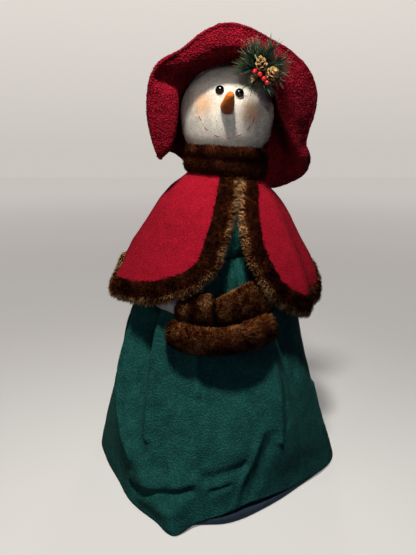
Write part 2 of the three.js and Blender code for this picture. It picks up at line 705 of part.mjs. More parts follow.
for (const side of ["left", "right"]) {
  const arm = without(armGeometry(side), bodiceGeometry(gap));
  const cuff = without(cuffGeometry(side), armGeometry(side, gap), bellGeometry(gap));
  add(`arm_${side}`, arm, white, 0.95);
  add(`cuff_${side}`, cuff, fur, 0.9);
}
const cuffRoom = ["left", "right"].map((side) => cuffGeometry(side, gap));
const armRoom = ["left", "right"].map((side) => armGeometry(side, gap));
add("muff", without(muffGeometry(), ...cuffRoom, ...armRoom, bellGeometry(gap)), fur, 0.9);

add("cape", capeGeometry(), crimson, 0.95);
add("cape_trim", trimGeometry(), fur, 0.9);
add("collar", collarGeometry(), fur, 0.9);
add("head", headGeometry(), white, 0.95);
add("eye_left", eyeGeometry("left"), 0x060606, 0.1);
add("eye_right", eyeGeometry("right"), 0x060606, 0.1);
add("nose", noseGeometry(), 0xc8610f, 0.9);
smile.stitches.forEach((place, i) => add(`mouth_stitch_${i + 1}`, stitchGeometry(place), 0xa82030, 0.8));

const brim = brimGeometry();
add("hat_crown", crownGeometry(), darkRed, 0.95);
add("hat_brim", brim, darkRed, 0.95);
add("pine_sprig", sprayGeometry(brim), 0x25402c, 0.8);
cones.forEach((cone, i) => add(`cone_${i + 1}`, coneGeometry(cone), 0x6b4a25, 0.7));
berries.forEach((at, i) => add(`berry_${i + 1}`, berryGeometry(at), 0xc4121f, 0.25));

export default doll;
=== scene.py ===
import math

import bmesh
import bpy
import numpy as np
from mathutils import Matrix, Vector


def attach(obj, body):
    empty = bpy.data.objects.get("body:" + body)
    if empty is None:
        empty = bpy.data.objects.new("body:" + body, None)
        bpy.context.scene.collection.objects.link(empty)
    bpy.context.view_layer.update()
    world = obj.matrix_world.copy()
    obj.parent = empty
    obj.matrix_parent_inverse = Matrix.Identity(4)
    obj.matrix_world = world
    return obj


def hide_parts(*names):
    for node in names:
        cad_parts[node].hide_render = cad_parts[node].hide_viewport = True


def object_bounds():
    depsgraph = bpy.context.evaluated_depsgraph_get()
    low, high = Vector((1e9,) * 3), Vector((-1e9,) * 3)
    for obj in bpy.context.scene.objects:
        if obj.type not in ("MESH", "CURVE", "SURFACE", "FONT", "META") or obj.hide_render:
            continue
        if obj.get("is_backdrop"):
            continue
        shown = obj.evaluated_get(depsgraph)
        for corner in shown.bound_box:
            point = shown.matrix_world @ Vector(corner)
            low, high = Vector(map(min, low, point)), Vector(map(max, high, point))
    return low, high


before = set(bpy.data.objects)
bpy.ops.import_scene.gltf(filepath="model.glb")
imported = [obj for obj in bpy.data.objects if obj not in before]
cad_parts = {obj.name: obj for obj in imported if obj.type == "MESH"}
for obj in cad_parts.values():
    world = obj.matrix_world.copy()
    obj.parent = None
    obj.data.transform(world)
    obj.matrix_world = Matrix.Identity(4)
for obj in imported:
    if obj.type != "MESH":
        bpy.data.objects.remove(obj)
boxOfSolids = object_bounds()
print("frame loaded")

toMetres = 0.001
latticeShape = {"seed": 7, "cells": 32, "start": 500}  # random numbers that softNoise runs smoothly between
lattice = np.random.default_rng(latticeShape["seed"]).random((latticeShape["cells"],) * 3)


# Numbers along a line, round the azimuth and in space

def mix(a, b, share):
    return a + (b - a) * share


def bump(x, centre, width):
    return np.exp(-(((x - centre) / width) ** 2))


def wrap(azimuth):
    return (np.asarray(azimuth, float) + 180) % 360 - 180


def ease(x, low, high):
    share = np.clip((np.asarray(x, float) - low) / (high - low), 0, 1)
    return share * share * (3 - 2 * share)


def unit(v):
    return v / np.maximum(np.linalg.norm(v, axis=-1, keepdims=True), 1e-9)


def through(pairs):  # a smooth function through pairs of place and value
    x, y = np.array(pairs, float).T
    before, after = np.r_[0, np.arange(len(x) - 1)], np.r_[np.arange(1, len(x)), len(x) - 1]
    slope = (y[after] - y[before]) / (x[after] - x[before])

    def at(place):
        place = np.clip(np.asarray(place, float), x[0], x[-1])
        i = np.clip(np.searchsorted(x, place, side="right") - 1, 0, len(x) - 2)
        width = x[i + 1] - x[i]
        t = (place - x[i]) / width
        low = (1 + 2 * t) * (1 - t) ** 2 * y[i] + t * (1 - t) ** 2 * width * slope[i]
        return low + t * t * (3 - 2 * t) * y[i + 1] - t * t * (1 - t) * width * slope[i + 1]

    return at


def around(pairs):  # the same over the azimuth, joined up behind
    before = [(a - 360, v) for a, v in pairs[-2:]]
    after = [(a + 360, v) for a, v in pairs[:2]]
    smooth = through(before + list(pairs) + after)
    return lambda azimuth: smooth(wrap(azimuth))


def curveThrough(points, closed=False):  # a centripetal curve, as a function of 0 to 1
    points = np.array(points, float)
    spans = len(points) if closed else len(points) - 1
    if closed:
        padded = np.vstack([points[-1:], points, points[:2]])
    else:
        padded = np.vstack([2 * points[:1] - points[1:2], points, 2 * points[-1:] - points[-2:-1]])

    def at(share):
        place = np.clip(np.asarray(share, float), 0, 1) * spans
        i = np.minimum(place.astype(int), spans - 1)
        w = (place - i)[..., None]
        p0, p1, p2, p3 = (padded[i + k] for k in range(4))
        d0, d1, d2 = (
            np.maximum(np.sum((b - a) ** 2, -1, keepdims=True) ** 0.25, 1e-4)
            for a, b in ((p0, p1), (p1, p2), (p2, p3))
        )
        t1 = ((p1 - p0) / d0 - (p2 - p0) / (d0 + d1) + (p2 - p1) / d1) * d1
        t2 = ((p2 - p1) / d1 - (p3 - p1) / (d1 + d2) + (p3 - p2) / d2) * d1
        return p1 + t1 * w + (3 * (p2 - p1) - 2 * t1 - t2) * w**2 + (2 * (p1 - p2) + t1 + t2) * w**3

    return at


def evenShares(at, count, fine):  # shares that are evenly spaced along the curve's length
    shares = np.linspace(0, 1, fine)
    steps = np.linalg.norm(np.diff(at(shares), axis=0), axis=1)
    run = np.r_[0, np.cumsum(steps)]
    return np.interp(np.linspace(0, run[-1], count), run, shares)


def softNoise(points, size, shift=0.0):  # smooth noise from -1 to 1
    place = np.asarray(points, float) / size + shift + latticeShape["start"]
    cell = np.floor(place).astype(int)
    f = place - cell
    f = f * f * (3 - 2 * f)
    total = 0.0
    for corner in np.ndindex(2, 2, 2):
        weight = 1.0
        for axisIndex, step in enumerate(corner):
            weight = weight * (f[..., axisIndex] if step else 1 - f[..., axisIndex])
        i, j, k = ((cell[..., a] + step) % latticeShape["cells"] for a, step in enumerate(corner))
        total = total + weight * lattice[i, j, k]
    return total * 2 - 1


def noiseVector(points, size, shift=0.0):
    return np.stack([softNoise(points, size, shift + k * 9.7) for k in range(3)], -1)


def distanceTo(path, x, y):  # distance from places to a line of straight pieces
    best = np.full(np.shape(x), 1e9)
    for (x0, y0), (x1, y1) in zip(path[:-1], path[1:]):
        run = (x1 - x0) ** 2 + (y1 - y0) ** 2
        t = np.clip(((x - x0) * (x1 - x0) + (y - y0) * (y1 - y0)) / run, 0, 1)
        best = np.minimum(best, np.hypot(x - x0 - t * (x1 - x0), y - y0 - t * (y1 - y0)))
    return best


def degreesFrom(middle, directions):
    return np.degrees(np.arccos(np.clip(directions @ middle, -1, 1)))


# Meshes

def gridFaces(rows, columns, closeRows=False, closeColumns=False, start=0, flip=False):
    i = np.arange(rows if closeRows else rows - 1)[:, None]
    j = np.arange(columns if closeColumns else columns - 1)[None, :]
    corner = lambda a, b: (start + (a % rows) * columns + b % columns).ravel()
    a, b, c, d = corner(i, j), corner(i + 1, j), corner(i + 1, j + 1), corner(i, j + 1)
    faces = np.concatenate([np.stack([a, b, c], 1), np.stack([a, c, d], 1)])
    return faces[:, ::-1] if flip else faces


def gridNormals(grid, closeRows=False, closeColumns=False):
    def slope(axisIndex, closed):
        if closed:
            return np.roll(grid, -1, axisIndex) - np.roll(grid, 1, axisIndex)
        return np.gradient(grid, axis=axisIndex)

    return unit(np.cross(slope(0, closeRows), slope(1, closeColumns)))


def makePiece(name, points, faces, material, nodes=(), tint=None, normals=None):
    mesh = bpy.data.meshes.new(name)
    points = np.ascontiguousarray(points, float).reshape(-1, 3)
    faces = np.ascontiguousarray(faces, int)
    mesh.vertices.add(len(points))
    mesh.vertices.foreach_set("co", (points * toMetres).astype(np.float32).ravel())
    mesh.loops.add(faces.size)
    mesh.loops.foreach_set("vertex_index", faces.astype(np.int32).ravel())
    mesh.polygons.add(len(faces))
    mesh.polygons.foreach_set("loop_start", np.arange(0, faces.size, 3, dtype=np.int32))
    mesh.update(calc_edges=True)
    mesh.validate()
    mesh.shade_smooth()
    if tint is not None:
        layer = mesh.attributes.new("tint", "FLOAT", "POINT")
        layer.data.foreach_set("value", np.asarray(tint, np.float32).ravel())
    if normals is not None:
        mesh.normals_split_custom_set_from_vertices(unit(normals).reshape(-1, 3).tolist())
    mesh.materials.append(material)
    piece = bpy.data.objects.new(name, mesh)
    bpy.context.scene.collection.objects.link(piece)
    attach(piece, "root")
    if nodes:
        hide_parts(*nodes)
    return piece


def shell(grid, inside, outside, closeRows=False, normals=None):  # a closed skin round a sheet
    rows, columns = grid.shape[:2]
    normals = gridNormals(grid, closeRows) if normals is None else normals
    points = np.concatenate([grid + normals * outside, grid + normals * inside]).reshape(-1, 3)
    half = rows * columns
    faces = [
        gridFaces(rows, columns, closeRows),
        gridFaces(rows, columns, closeRows, start=half, flip=True),
    ]
    i = np.arange(rows if closeRows else rows - 1)
    follow = (i + 1) % rows

    def rim(a, b):  # a strip that joins the outside to the inside
        faces.append(np.stack([a, b, b + half], 1))
        faces.append(np.stack([a, b + half, a + half], 1))

    rim(follow * columns, i * columns)
    rim(i * columns + columns - 1, follow * columns + columns - 1)
    if not closeRows:
        j = np.arange(columns - 1)
        rim(j, j + 1)
        rim((rows - 1) * columns + j + 1, (rows - 1) * columns + j)
    return points, np.concatenate(faces)


def capped(grid):  # rings become a closed skin with a point in the middle of each end
    rows, columns = grid.shape[:2]
    points = np.vstack([grid.reshape(-1, 3), grid[0].mean(0), grid[-1].mean(0)])
    j = np.arange(columns)
    follow = (j + 1) % columns
    first, last = np.full(columns, rows * columns), np.full(columns, rows * columns + 1)
    faces = np.concatenate([
        gridFaces(rows, columns, closeColumns=True),
        np.stack([first, j, follow], 1),
        np.stack([last, (rows - 1) * columns + follow, (rows - 1) * columns + j], 1),
    ])
    return points, faces


def rollGrid(path, halfHeight, halfDepth, steps, sides, roundEnd):  # a soft roll along a path, closed at both ends
    at = curveThrough(path)
    t = np.linspace(0, 1, steps)
    centre = at(t)
    tangent = unit(np.gradient(centre, axis=0))
    depth = unit(np.cross(tangent, [0, 0, 1]))
    height = unit(np.cross(depth, tangent))
    toEnd = np.clip(np.minimum(t, 1 - t) / roundEnd, 0.02, 1)
    closing = np.sqrt(1 - (1 - toEnd) ** 2)
    angle = np.linspace(0, 2 * np.pi, sides, endpoint=False)
    a = (np.cos(angle)[None, :, None] * (halfDepth(t) * closing)[:, None, None]) * depth[:, None]
    b = (np.sin(angle)[None, :, None] * (halfHeight(t) * closing)[:, None, None]) * height[:, None]
    return centre[:, None] + a + b


def ringsAround(first, second, sides):  # circles of radius 1, one for each pair of directions
    angle = np.linspace(0, 2 * np.pi, sides, endpoint=False)[:, None]
    return np.cos(angle) * first[..., None, :] + np.sin(angle) * second[..., None, :]


def latheGrid(profile, sides, direction, centre):  # profile of radius and height along the direction
    direction = unit(np.array(direction, float))
    side = unit(np.cross(direction, [0.13, 0.31, 0.94]))
    ring = ringsAround(side, np.cross(direction, side), sides)
    radius, height = np.array(profile, float).T
    return np.array(centre) + radius[:, None, None] * ring + height[:, None, None] * direction


def ball(divisions):
    form = bmesh.new()
    bmesh.ops.create_icosphere(form, subdivisions=divisions, radius=1)
    points = np.array([v.co[:] for v in form.verts])
    faces = np.array([[v.index for v in f.verts] for f in form.faces])
    form.free()
    return points, faces


def joined(parts):  # several (points, faces, tint) become one
    points, faces, tints, count = [], [], [], 0
    for p, f, t in parts:
        points.append(p)
        faces.append(f + count)
        tints.append(np.broadcast_to(t, len(p)))
        count += len(p)
    return np.vstack(points), np.vstack(faces), np.concatenate(tints)


# Pile: tapered hairs that grow from a grid of points

def scatter(grid, count, generator, closeRows=False, closeColumns=False):  # roots, even over the grid's area
    if closeRows:
        grid = np.concatenate([grid, grid[:1]])
    if closeColumns:
        grid = np.concatenate([grid, grid[:, :1]], 1)
    a, b, c, d = grid[:-1, :-1], grid[1:, :-1], grid[1:, 1:], grid[:-1, 1:]
    normal = np.cross(c - a, d - b)
    area = np.linalg.norm(normal, axis=-1)
    pick = generator.choice(area.size, count, p=area.ravel() / area.sum())
    i, j = np.unravel_index(pick, area.shape)
    s, t = generator.random((2, count))[:, :, None]
    low, high = mix(a[i, j], b[i, j], s), mix(d[i, j], c[i, j], s)
    return {
        "at": mix(low, high, t),
        "out": unit(normal[i, j]),
        "alongRows": unit((b - a + c - d)[i, j]),
        "alongColumns": unit((d - a + c - b)[i, j]),
        "row": (i + s[:, 0]) / area.shape[0],
        "column": (j + t[:, 0]) / area.shape[1],
    }


def faceAway(roots, middle):  # turns the roots' normals away from the middle of the form
    away = np.sum(roots["out"] * (roots["at"] - middle), -1, keepdims=True)
    roots["out"] = roots["out"] * np.sign(away)


def laidOn(direction, out):  # the part of a direction that lies along the surface
    return direction - out * np.sum(direction * out, -1, keepdims=True)


hairForm = {  # shares of each hair's own length, width and tint
    "lengths": (0.65, 1.15), "middlePull": 0.35, "middleWidth": 0.85, "rootTint": 0.35, "middleTint": 0.35,
    "bendDrift": 0.6, "tuftSpread": 0.2, "lean": 0.7, "turn": 0.5,
}


def hairs(roots, comb, pile, generator, tone, gold):
    # Each hair is a strip of three triangles: root, middle and tip, drawn together into tufts.
    at, out = roots["at"], roots["out"]
    count = len(at)
    length = pile["length"] * generator.uniform(*hairForm["lengths"], (count, 1))
    length = length * (1 + pile["uneven"] * softNoise(at, pile["tuft"] * 1.7, 3.1))[:, None]
    drift = noiseVector(at, pile["tuft"], 1.3) * pile["drift"]
    loose = generator.normal(0, pile["loose"], (count, 3))
    first = unit(out * pile["lift"] + comb * pile["comb"] + drift + loose)
    second = unit(first + comb * pile["comb"] - out * pile["droop"] + drift * hairForm["bendDrift"])
    spread = hairForm["tuftSpread"]
    cell = np.round(at / pile["tuft"] + generator.uniform(-spread, spread, (count, 3)))
    pull = laidOn((cell * pile["tuft"] - at) * pile["gather"], out)
    root = at - out * pile["sunk"]
    middle = root + first * length * 0.5 + pull * hairForm["middlePull"]
    tip = middle + second * length * 0.5 + pull * (1 - hairForm["middlePull"])
    side = unit(np.cross(first, generator.normal(size=(count, 3)))) * pile["width"] / 2
    inset = side * hairForm["middleWidth"]
    points = np.stack([root - side, root + side, middle - inset, middle + inset, tip], 1)
    base = np.arange(count)[:, None] * 5
    faces = np.concatenate([base + [0, 1, 3], base + [0, 3, 2], base + [2, 3, 4]])
    facing = unit(out + first * hairForm["lean"] + side / pile["width"] * hairForm["turn"])
    normals = np.repeat(facing[:, None], 5, 1)
    low, half = tone * hairForm["rootTint"], mix(tone, gold, hairForm["middleTint"])
    return points.reshape(-1, 3), faces, np.clip(np.stack([low, low, half, half, gold], 1), 0, 1), normals


def makePile(name, roots, comb, pile, generator, tone, gold, material=None):
    points, faces, tint, normals = hairs(roots, comb, pile, generator, tone, gold)
    makePiece(name, points, faces, material or brownFur, (), tint, normals)


# Materials

white, black = (255, 255, 255), (0, 0, 0)


def linear(red, green, blue):  # a colour given as it is seen, from 0 to 255
    share = [c / 255 for c in (red, green, blue)]
    return tuple(c / 12.92 if c <= 0.04045 else ((c + 0.055) / 1.055) ** 2.4 for c in share) + (1.0,)


def startMaterial(name, roughness, gloss=None):
    material = bpy.data.materials.new(name)
    material.use_nodes = True
    tree = material.node_tree
    shader = next(n for n in tree.nodes if n.type == "BSDF_PRINCIPLED")
    shader.inputs["Roughness"].default_value = roughness
    if gloss is not None:
        shader.inputs["Specular IOR Level"].default_value = gloss
    return material, tree, shader, tree.nodes.new("ShaderNodeTexCoord").outputs["Object"]


def noiseNode(tree, place, size, detail=2.0, distortion=0.0):  # size in millimetres
    node = tree.nodes.new("ShaderNodeTexNoise")
    node.inputs["Scale"].default_value = 1 / (size * toMetres)
    node.inputs["Detail"].default_value = detail
    node.inputs["Distortion"].default_value = distortion
    tree.links.new(place, node.inputs["Vector"])
    return node.outputs["Fac"]


def tintNode(tree):  # the tint that a piece's mesh carries
    node = tree.nodes.new("ShaderNodeAttribute")
    node.attribute_name = "tint"
    return node.outputs["Fac"]


def rampNode(tree, source, *stops):
    ramp = tree.nodes.new("ShaderNodeValToRGB")
    entries = ramp.color_ramp.elements
    while len(entries) < len(stops):
        entries.new(0.5)
    for entry, (position, color) in zip(entries, stops):
        entry.position = position
        entry.color = linear(*color)
    tree.links.new(source, ramp.inputs["Fac"])
    return ramp.outputs["Color"]


def multiplied(tree, a, b, share=1.0):  # share and b are either numbers or sockets
    node = tree.nodes.new("ShaderNodeMix")
    node.data_type = "RGBA"
    node.blend_type = "MULTIPLY"
    tree.links.new(a, node.inputs["A"])
    for value, socket in ((share, "Factor"), (b, "B")):
        if isinstance(value, (float, tuple)):
            node.inputs[socket].default_value = value
        else:
            tree.links.new(value, node.inputs[socket])
    return node.outputs["Result"]


def patched(tree, place, look, color, detail):  # wide darker patches over a colour
    patch = noiseNode(tree, place, look["patch"], detail)
    return multiplied(tree, color, rampNode(tree, patch, (0.35, look["shadePatch"]), (0.65, white)))


def finishMaterial(tree, shader, color, height=None, strength=0.0, depth=0.0, sheen=None):
    tree.links.new(color, shader.inputs["Base Color"])
    if height:
        node = tree.nodes.new("ShaderNodeBump")
        node.inputs["Strength"].default_value = strength
        node.inputs["Distance"].default_value = depth * toMetres
        tree.links.new(height, node.inputs["Height"])
        tree.links.new(node.outputs["Normal"], shader.inputs["Normal"])
    if sheen:
        weight, roughness, sheenColor = sheen
        shader.inputs["Sheen Weight"].default_value = weight
        shader.inputs["Sheen Roughness"].default_value = roughness
        shader.inputs["Sheen Tint"].default_value = linear(*sheenColor)


def fleeceMaterial(name, look):  # curled pile: small rounded grains with darker gaps between them, their lit middles and shaded gaps painted into the colour
    material, tree, shader, place = startMaterial(name, 0.95, 0.1)
    stir = noiseNode(tree, place, look["grain"] * 2).node
    push = tree.nodes.new("ShaderNodeVectorMath")
    push.operation = "MULTIPLY_ADD"
    push.inputs[1].default_value = (look["curl"] * toMetres,) * 3
    tree.links.new(stir.outputs["Color"], push.inputs[0])
    tree.links.new(place, push.inputs[2])
    grains = tree.nodes.new("ShaderNodeTexVoronoi")
    grains.feature = "SMOOTH_F1"
    grains.inputs["Scale"].default_value = 1 / (look["grain"] * toMetres)
    grains.inputs["Smoothness"].default_value = 0.35
    tree.links.new(push.outputs["Vector"], grains.inputs["Vector"])
    fromMiddle = grains.outputs["Distance"]
    height = rampNode(tree, fromMiddle, (0.12, white), (0.62, black))
    # painted light and shade: each grain lighter at its middle and darker in the gaps between grains
    fine = rampNode(tree, fromMiddle, (0.15, look["light"]), (0.6, look["dark"]))
    color = patched(tree, place, look, fine, 3.0)
    sheen = (look["sheen"], 0.45, look["sheenColor"])
    finishMaterial(tree, shader, color, height, look["bump"], look["bumpDepth"], sheen)
    return material


def furMaterial(name, look):
    material, tree, shader, place = startMaterial(name, look["roughness"], look["gloss"])
    color = patched(tree, place, look, rampNode(tree, tintNode(tree), *look["stops"]), 2.0)
    finishMaterial(tree, shader, color, sheen=(look["sheen"], 0.4, look["sheenColor"]))
    return material


greenFleece = fleeceMaterial("greenFleece", {
    "light": (45, 110, 102), "dark": (27, 82, 77), "shadePatch": (206, 214, 214),
    "grain": 2.6, "curl": 1.8, "patch": 18, "bump": 0.8, "bumpDepth": 1.1,
    "sheen": 0.012, "sheenColor": (120, 190, 180),
})
crimsonFleece = fleeceMaterial("crimsonFleece", {
    "light": (202, 25, 52), "dark": (146, 13, 35), "shadePatch": (236, 228, 228),
    "grain": 1.8, "curl": 1.3, "patch": 14, "bump": 0.8, "bumpDepth": 0.9,
    "sheen": 0.015, "sheenColor": (255, 130, 140),
})
darkRedFleece = fleeceMaterial("darkRedFleece", {
    "light": (196, 24, 50), "dark": (118, 8, 28), "shadePatch": (214, 202, 206),
    "grain": 2.6, "curl": 2.2, "patch": 18, "bump": 1.0, "bumpDepth": 1.8,
    "sheen": 0.02, "sheenColor": (255, 120, 135),
})
redNap = furMaterial("redNap", {
    "roughness": 0.9, "gloss": 0.1, "patch": 6, "shadePatch": (170, 150, 155),
    "stops": [(0.0, (78, 3, 15)), (0.45, (154, 14, 38)), (1.0, (214, 38, 66))],
    "sheen": 0.02, "sheenColor": (255, 120, 135),
})
brownFur = furMaterial("brownFur", {
    "roughness": 0.8, "gloss": 0.05, "patch": 20, "shadePatch": (150, 124, 110),
    "stops": [(0.0, (20, 5, 2)), (0.3, (96, 43, 16)), (0.6, (184, 118, 66)), (1.0, (252, 208, 150))],
    "sheen": 0.0, "sheenColor": (220, 170, 120),
})
print("fleece and fur materials made")


# Base: a flat weighted disc in navy cloth under the skirt

def clothMaterial(name, look):  # a plain weave: two sets of threads at right angles
    material, tree, shader, place = startMaterial(name, 0.85)
    threads = []
    for direction in look["directions"]:
        wave = tree.nodes.new("ShaderNodeTexWave")
        wave.bands_direction = direction
        wave.inputs["Scale"].default_value = 0.31 / (look["thread"] * toMetres)
        wave.inputs["Distortion"].default_value = 0.6
        tree.links.new(place, wave.inputs["Vector"])
        threads.append(wave.outputs["Color"])
    stain = noiseNode(tree, place, 30, 3.0)
    color = rampNode(tree, stain, (0.3, look["dark"]), (0.7, look["light"]))
    finishMaterial(tree, shader, color, multiplied(tree, *threads), 0.5, 0.25, (0.15, 0.5, look["light"]))
    return material


navyCloth = clothMaterial("navyCloth", {
    "dark": (16, 36, 52), "light": (30, 54, 74), "thread": 0.9, "directions": ("X", "Y"),
})
whiteCloth = clothMaterial("whiteCloth", {
    "dark": (206, 200, 190), "light": (238, 234, 226), "thread": 0.8, "directions": ("X", "Z"),
})

# The skirt's bell is worked out here, since the base under it has the same outline
skirtShape = {
    "waistHeight": 366, "hemReach": 75, "columns": 420, "rows": 150, "hemTurn": 14, "backShare": 0.9,
    "gathers": 46, "gatherFrom": 318, "gatherDepth": 2.6, "softDent": 1.6,
}
bellHalfWidth = through([
    (0, 207), (30, 199), (66, 190), (120, 174), (190, 157),
    (265, 138), (300, 117), (330, 93), (350, 76), (366, 64),
])
bellMiddle = through([(0, 3), (66, 0), (190, -2), (300, 0), (366, 4)])
bellFront = through([(0, 1), (120, 0.97), (265, 0.9), (366, 0.95)])
forwardOf = through([(300, 0), (330, 12), (366, 28), (395, 28), (440, 16), (480, 0)])
hemSpread = around([
    (-160, -3), (-115, 2), (-95, 4), (-78, -11), (-58, -18), (-41, -7), (-25, 3), (-15.5, 15), (-9, -3),
    (4, -10), (24, -25), (46, -28), (66, -14), (81, 2), (100, 2), (130, -4), (175, -3),
])
hemLift = around([
    (-90, 0), (-30, 0), (-16, 0.5), (-6, 8), (6, 15), (24, 17), (46, 8), (64, 4), (84, 0.5), (100, 0), (175, 0),
])
skirtFolds = [(through(places), through(depths), width) for places, depths, width in [
    # azimuth by height, depth by height, width in degrees
    ([(0, -15.5), (25, -22), (53, -32), (73, -38), (96, -47), (134, -56), (193, -61), (254, -64)],
     [(0, 4), (60, 10), (134, 10), (254, 10), (320, 4)], 8),
    ([(0, -34), (366, -34)], [(60, 0), (134, 5), (237, 10), (320, 4)], 6),
    ([(130, -44), (160, -44), (280, -48)], [(110, 0), (200, -16), (280, -30), (330, -12)], 8),
    ([(0, -80), (366, -80)], [(60, 0), (180, -8), (290, -12), (330, -5)], 6),
    ([(0, 36), (366, 36)], [(50, 0), (132, 5), (229, 9), (320, 2)], 8),
    ([(30, 11), (99, 24)], [(0, 0), (30, -6), (99, -6), (160, 0)], 8),
    ([(0, 70), (366, 70)], [(0, 4), (32, 6), (116, 4), (220, 0)], 10),
    ([(0, 10), (366, 10)], [(105, 0), (150, -9), (200, -20), (245, -25), (300, -10), (340, 0)], 21),
    ([(0, 51), (366, 47)], [(120, 0), (190, -8), (260, -14), (330, -4)], 6),
    ([(0, -16), (366, -20)], [(150, 0), (200, -6), (260, -10), (330, 0)], 5),
    ([(0, 112), (366, 112)], [(0, 9), (120, 6), (300, 0)], 10),
    ([(0, 146), (366, 146)], [(0, 8), (140, 7), (320, 0)], 11),
    ([(0, 180), (366, 180)], [(0, 10), (160, 6), (320, 0)], 10),
    ([(0, -146), (366, -146)], [(0, 8), (120, 7), (300, 0)], 10),
    ([(0, -110), (366, -110)], [(0, 6), (160, 7), (320, 0)], 9),
]]
skirtCreases = [  # path in azimuth and height, depth, width in millimetres
    ([(-41, 27), (-34, 33), (-26, 40), (-18, 48), (-11, 52)], -7, 6.5),
    ([(-41, 42), (-27, 54), (-17, 61), (-9, 65)], 5, 12),
    ([(-34, 20), (-24, 25), (-14, 33)], 4, 9),
    ([(-63, 290), (-61, 193), (-56, 134), (-48, 98), (-40, 76)], 5.5, 4),
    ([(-77, 290), (-75, 200), (-70, 130)], 4, 4),
    ([(-71, 300), (-68, 190)], -5, 4),
    ([(-52, 300), (-48, 160)], -4, 6),
    ([(-39, 300), (-36, 180), (-33, 110)], 5.5, 6),
    ([(-24, 240), (-22, 170)], -5, 6),
    ([(36, 292), (36, 180), (34, 100)], 5.5, 4.5),
    ([(41, 292), (42, 180), (40, 120)], -3, 5),
    ([(57, 290), (56, 180)], -5, 6),
    ([(72, 150), (73, 80), (76, 30)], 5.0, 4),
    ([(25, 120), (19, 85), (12, 50), (9, 24)], 5, 7),
    ([(31, 110), (24, 70), (17, 30)], -4, 9),
    ([(-4, 66), (4, 70), (14, 76)], -5, 9),
    ([(-2, 47), (6, 52)], -4, 4),
    ([(-10, 250), (-9, 180)], 4, 6),
    ([(13, 362), (11, 322)], -3, 3.5),
    ([(22, 362), (22, 315)], -3.4, 3.5),
    ([(31, 360), (34, 320)], -3, 3.5),
    ([(18, 360), (17, 330)], 2, 3),
    ([(27, 360), (28, 325)], 2, 3),
]


def pushedForward(azimuth, z):  # how far the front of the dress stands out behind the cape's opening
    return forwardOf(z) * np.cos(np.radians(wrap(azimuth) / 2)) ** 8


def skirtPoint(azimuth, z, more=0.0, plain=False):
    backShare = (1 - np.cos(np.radians(azimuth))) / 2
    depthShare = mix(bellFront(z), skirtShape["backShare"], backShare)
    radius = bellHalfWidth(z) + hemSpread(azimuth) * bump(z, 0, skirtShape["hemReach"]) + more
    for place, depth, width in skirtFolds:
        radius = radius + depth(z) * bump(wrap(azimuth - place(z)), 0, width)
    if not plain:
        arc = np.radians(wrap(azimuth)) * bellHalfWidth(z)
        for path, depth, width in skirtCreases:
            line = [(math.radians(a) * float(bellHalfWidth(h)), h) for a, h in path]
            radius = radius + depth * bump(distanceTo(line, arc, z), 0, width)
        ripple = np.cos(np.radians(azimuth * skirtShape["gathers"] + 50 * np.sin(np.radians(azimuth * 5))))
        nearWaist = ease(z, skirtShape["gatherFrom"], skirtShape["waistHeight"])
        radius = radius + skirtShape["gatherDepth"] * (0.3 + 0.7 * ripple) * nearWaist * 0.8
    x = bellMiddle(z) + radius * np.sin(np.radians(azimuth))
    y = -radius * depthShare * np.cos(np.radians(azimuth))
    if not plain:
        y = y - pushedForward(azimuth, z)
    return np.stack([x, y, z + 0 * x], -1)


baseShape = {"height": 10, "sides": 240, "edge": [(0, -1.5), (0.6, -0.5), (2, 0)]}  # edge: height and inset
baseInset = around([(-90, 16), (-20, 14), (-4, 3.5), (30, 3), (60, 3.5), (84, 10), (120, 16), (175, 16)])
azimuths = np.linspace(-180, 180, baseShape["sides"], endpoint=False)
levels = baseShape["edge"] + [(baseShape["height"] - z, more) for z, more in reversed(baseShape["edge"])]
baseGrid = np.array([
    skirtPoint(azimuths, np.zeros(len(azimuths)), more - baseInset(azimuths), True) + [0, 0, z]
    for z, more in levels
])
points, faces = capped(baseGrid)
base = makePiece("base_cloth", points, faces, navyCloth, ["base"])
print("base made")


# Skirt: one long bell of fleece, its hem turned under

azimuths = np.linspace(-180, 180, skirtShape["columns"], endpoint=False)[None, :]
shares = np.linspace(0, 1, skirtShape["rows"])[:, None]
lift = np.maximum(hemLift(azimuths), 0.4)
heights = mix(lift, skirtShape["waistHeight"], shares)
skirtGrid = skirtPoint(azimuths + 0 * heights, heights)
outward = gridNormals(skirtGrid, closeColumns=True)
outward = outward * np.sign(np.sum(outward * skirtGrid * [1, 1, 0], -1, keepdims=True))
dent = softNoise(skirtGrid, 55, 2.0) * skirtShape["softDent"] + softNoise(skirtGrid, 17, 5.0) * 0.5
skirtGrid = skirtGrid + outward * (dent * ease(shares, 0, 0.1))[..., None]
turned = [  # the hem runs up inside
    skirtPoint(azimuths[0], lift[0] + skirtShape["hemTurn"] * step, -3.0, True) for step in (0.75, 0.45, 0.15)
]
under = skirtGrid[0] + (turned[-1] - skirtGrid[0]) * [0.6, 0.6, 0]
skirtGrid = np.concatenate([np.array(turned), under[None], skirtGrid])
faces = gridFaces(len(skirtGrid), skirtShape["columns"], closeColumns=True, flip=True)
skirt = makePiece("skirt_fleece", skirtGrid, faces, greenFleece, ["skirt"])
print("skirt made")


# Bodice: the stuffed chest and neck, gathered into the waist seam

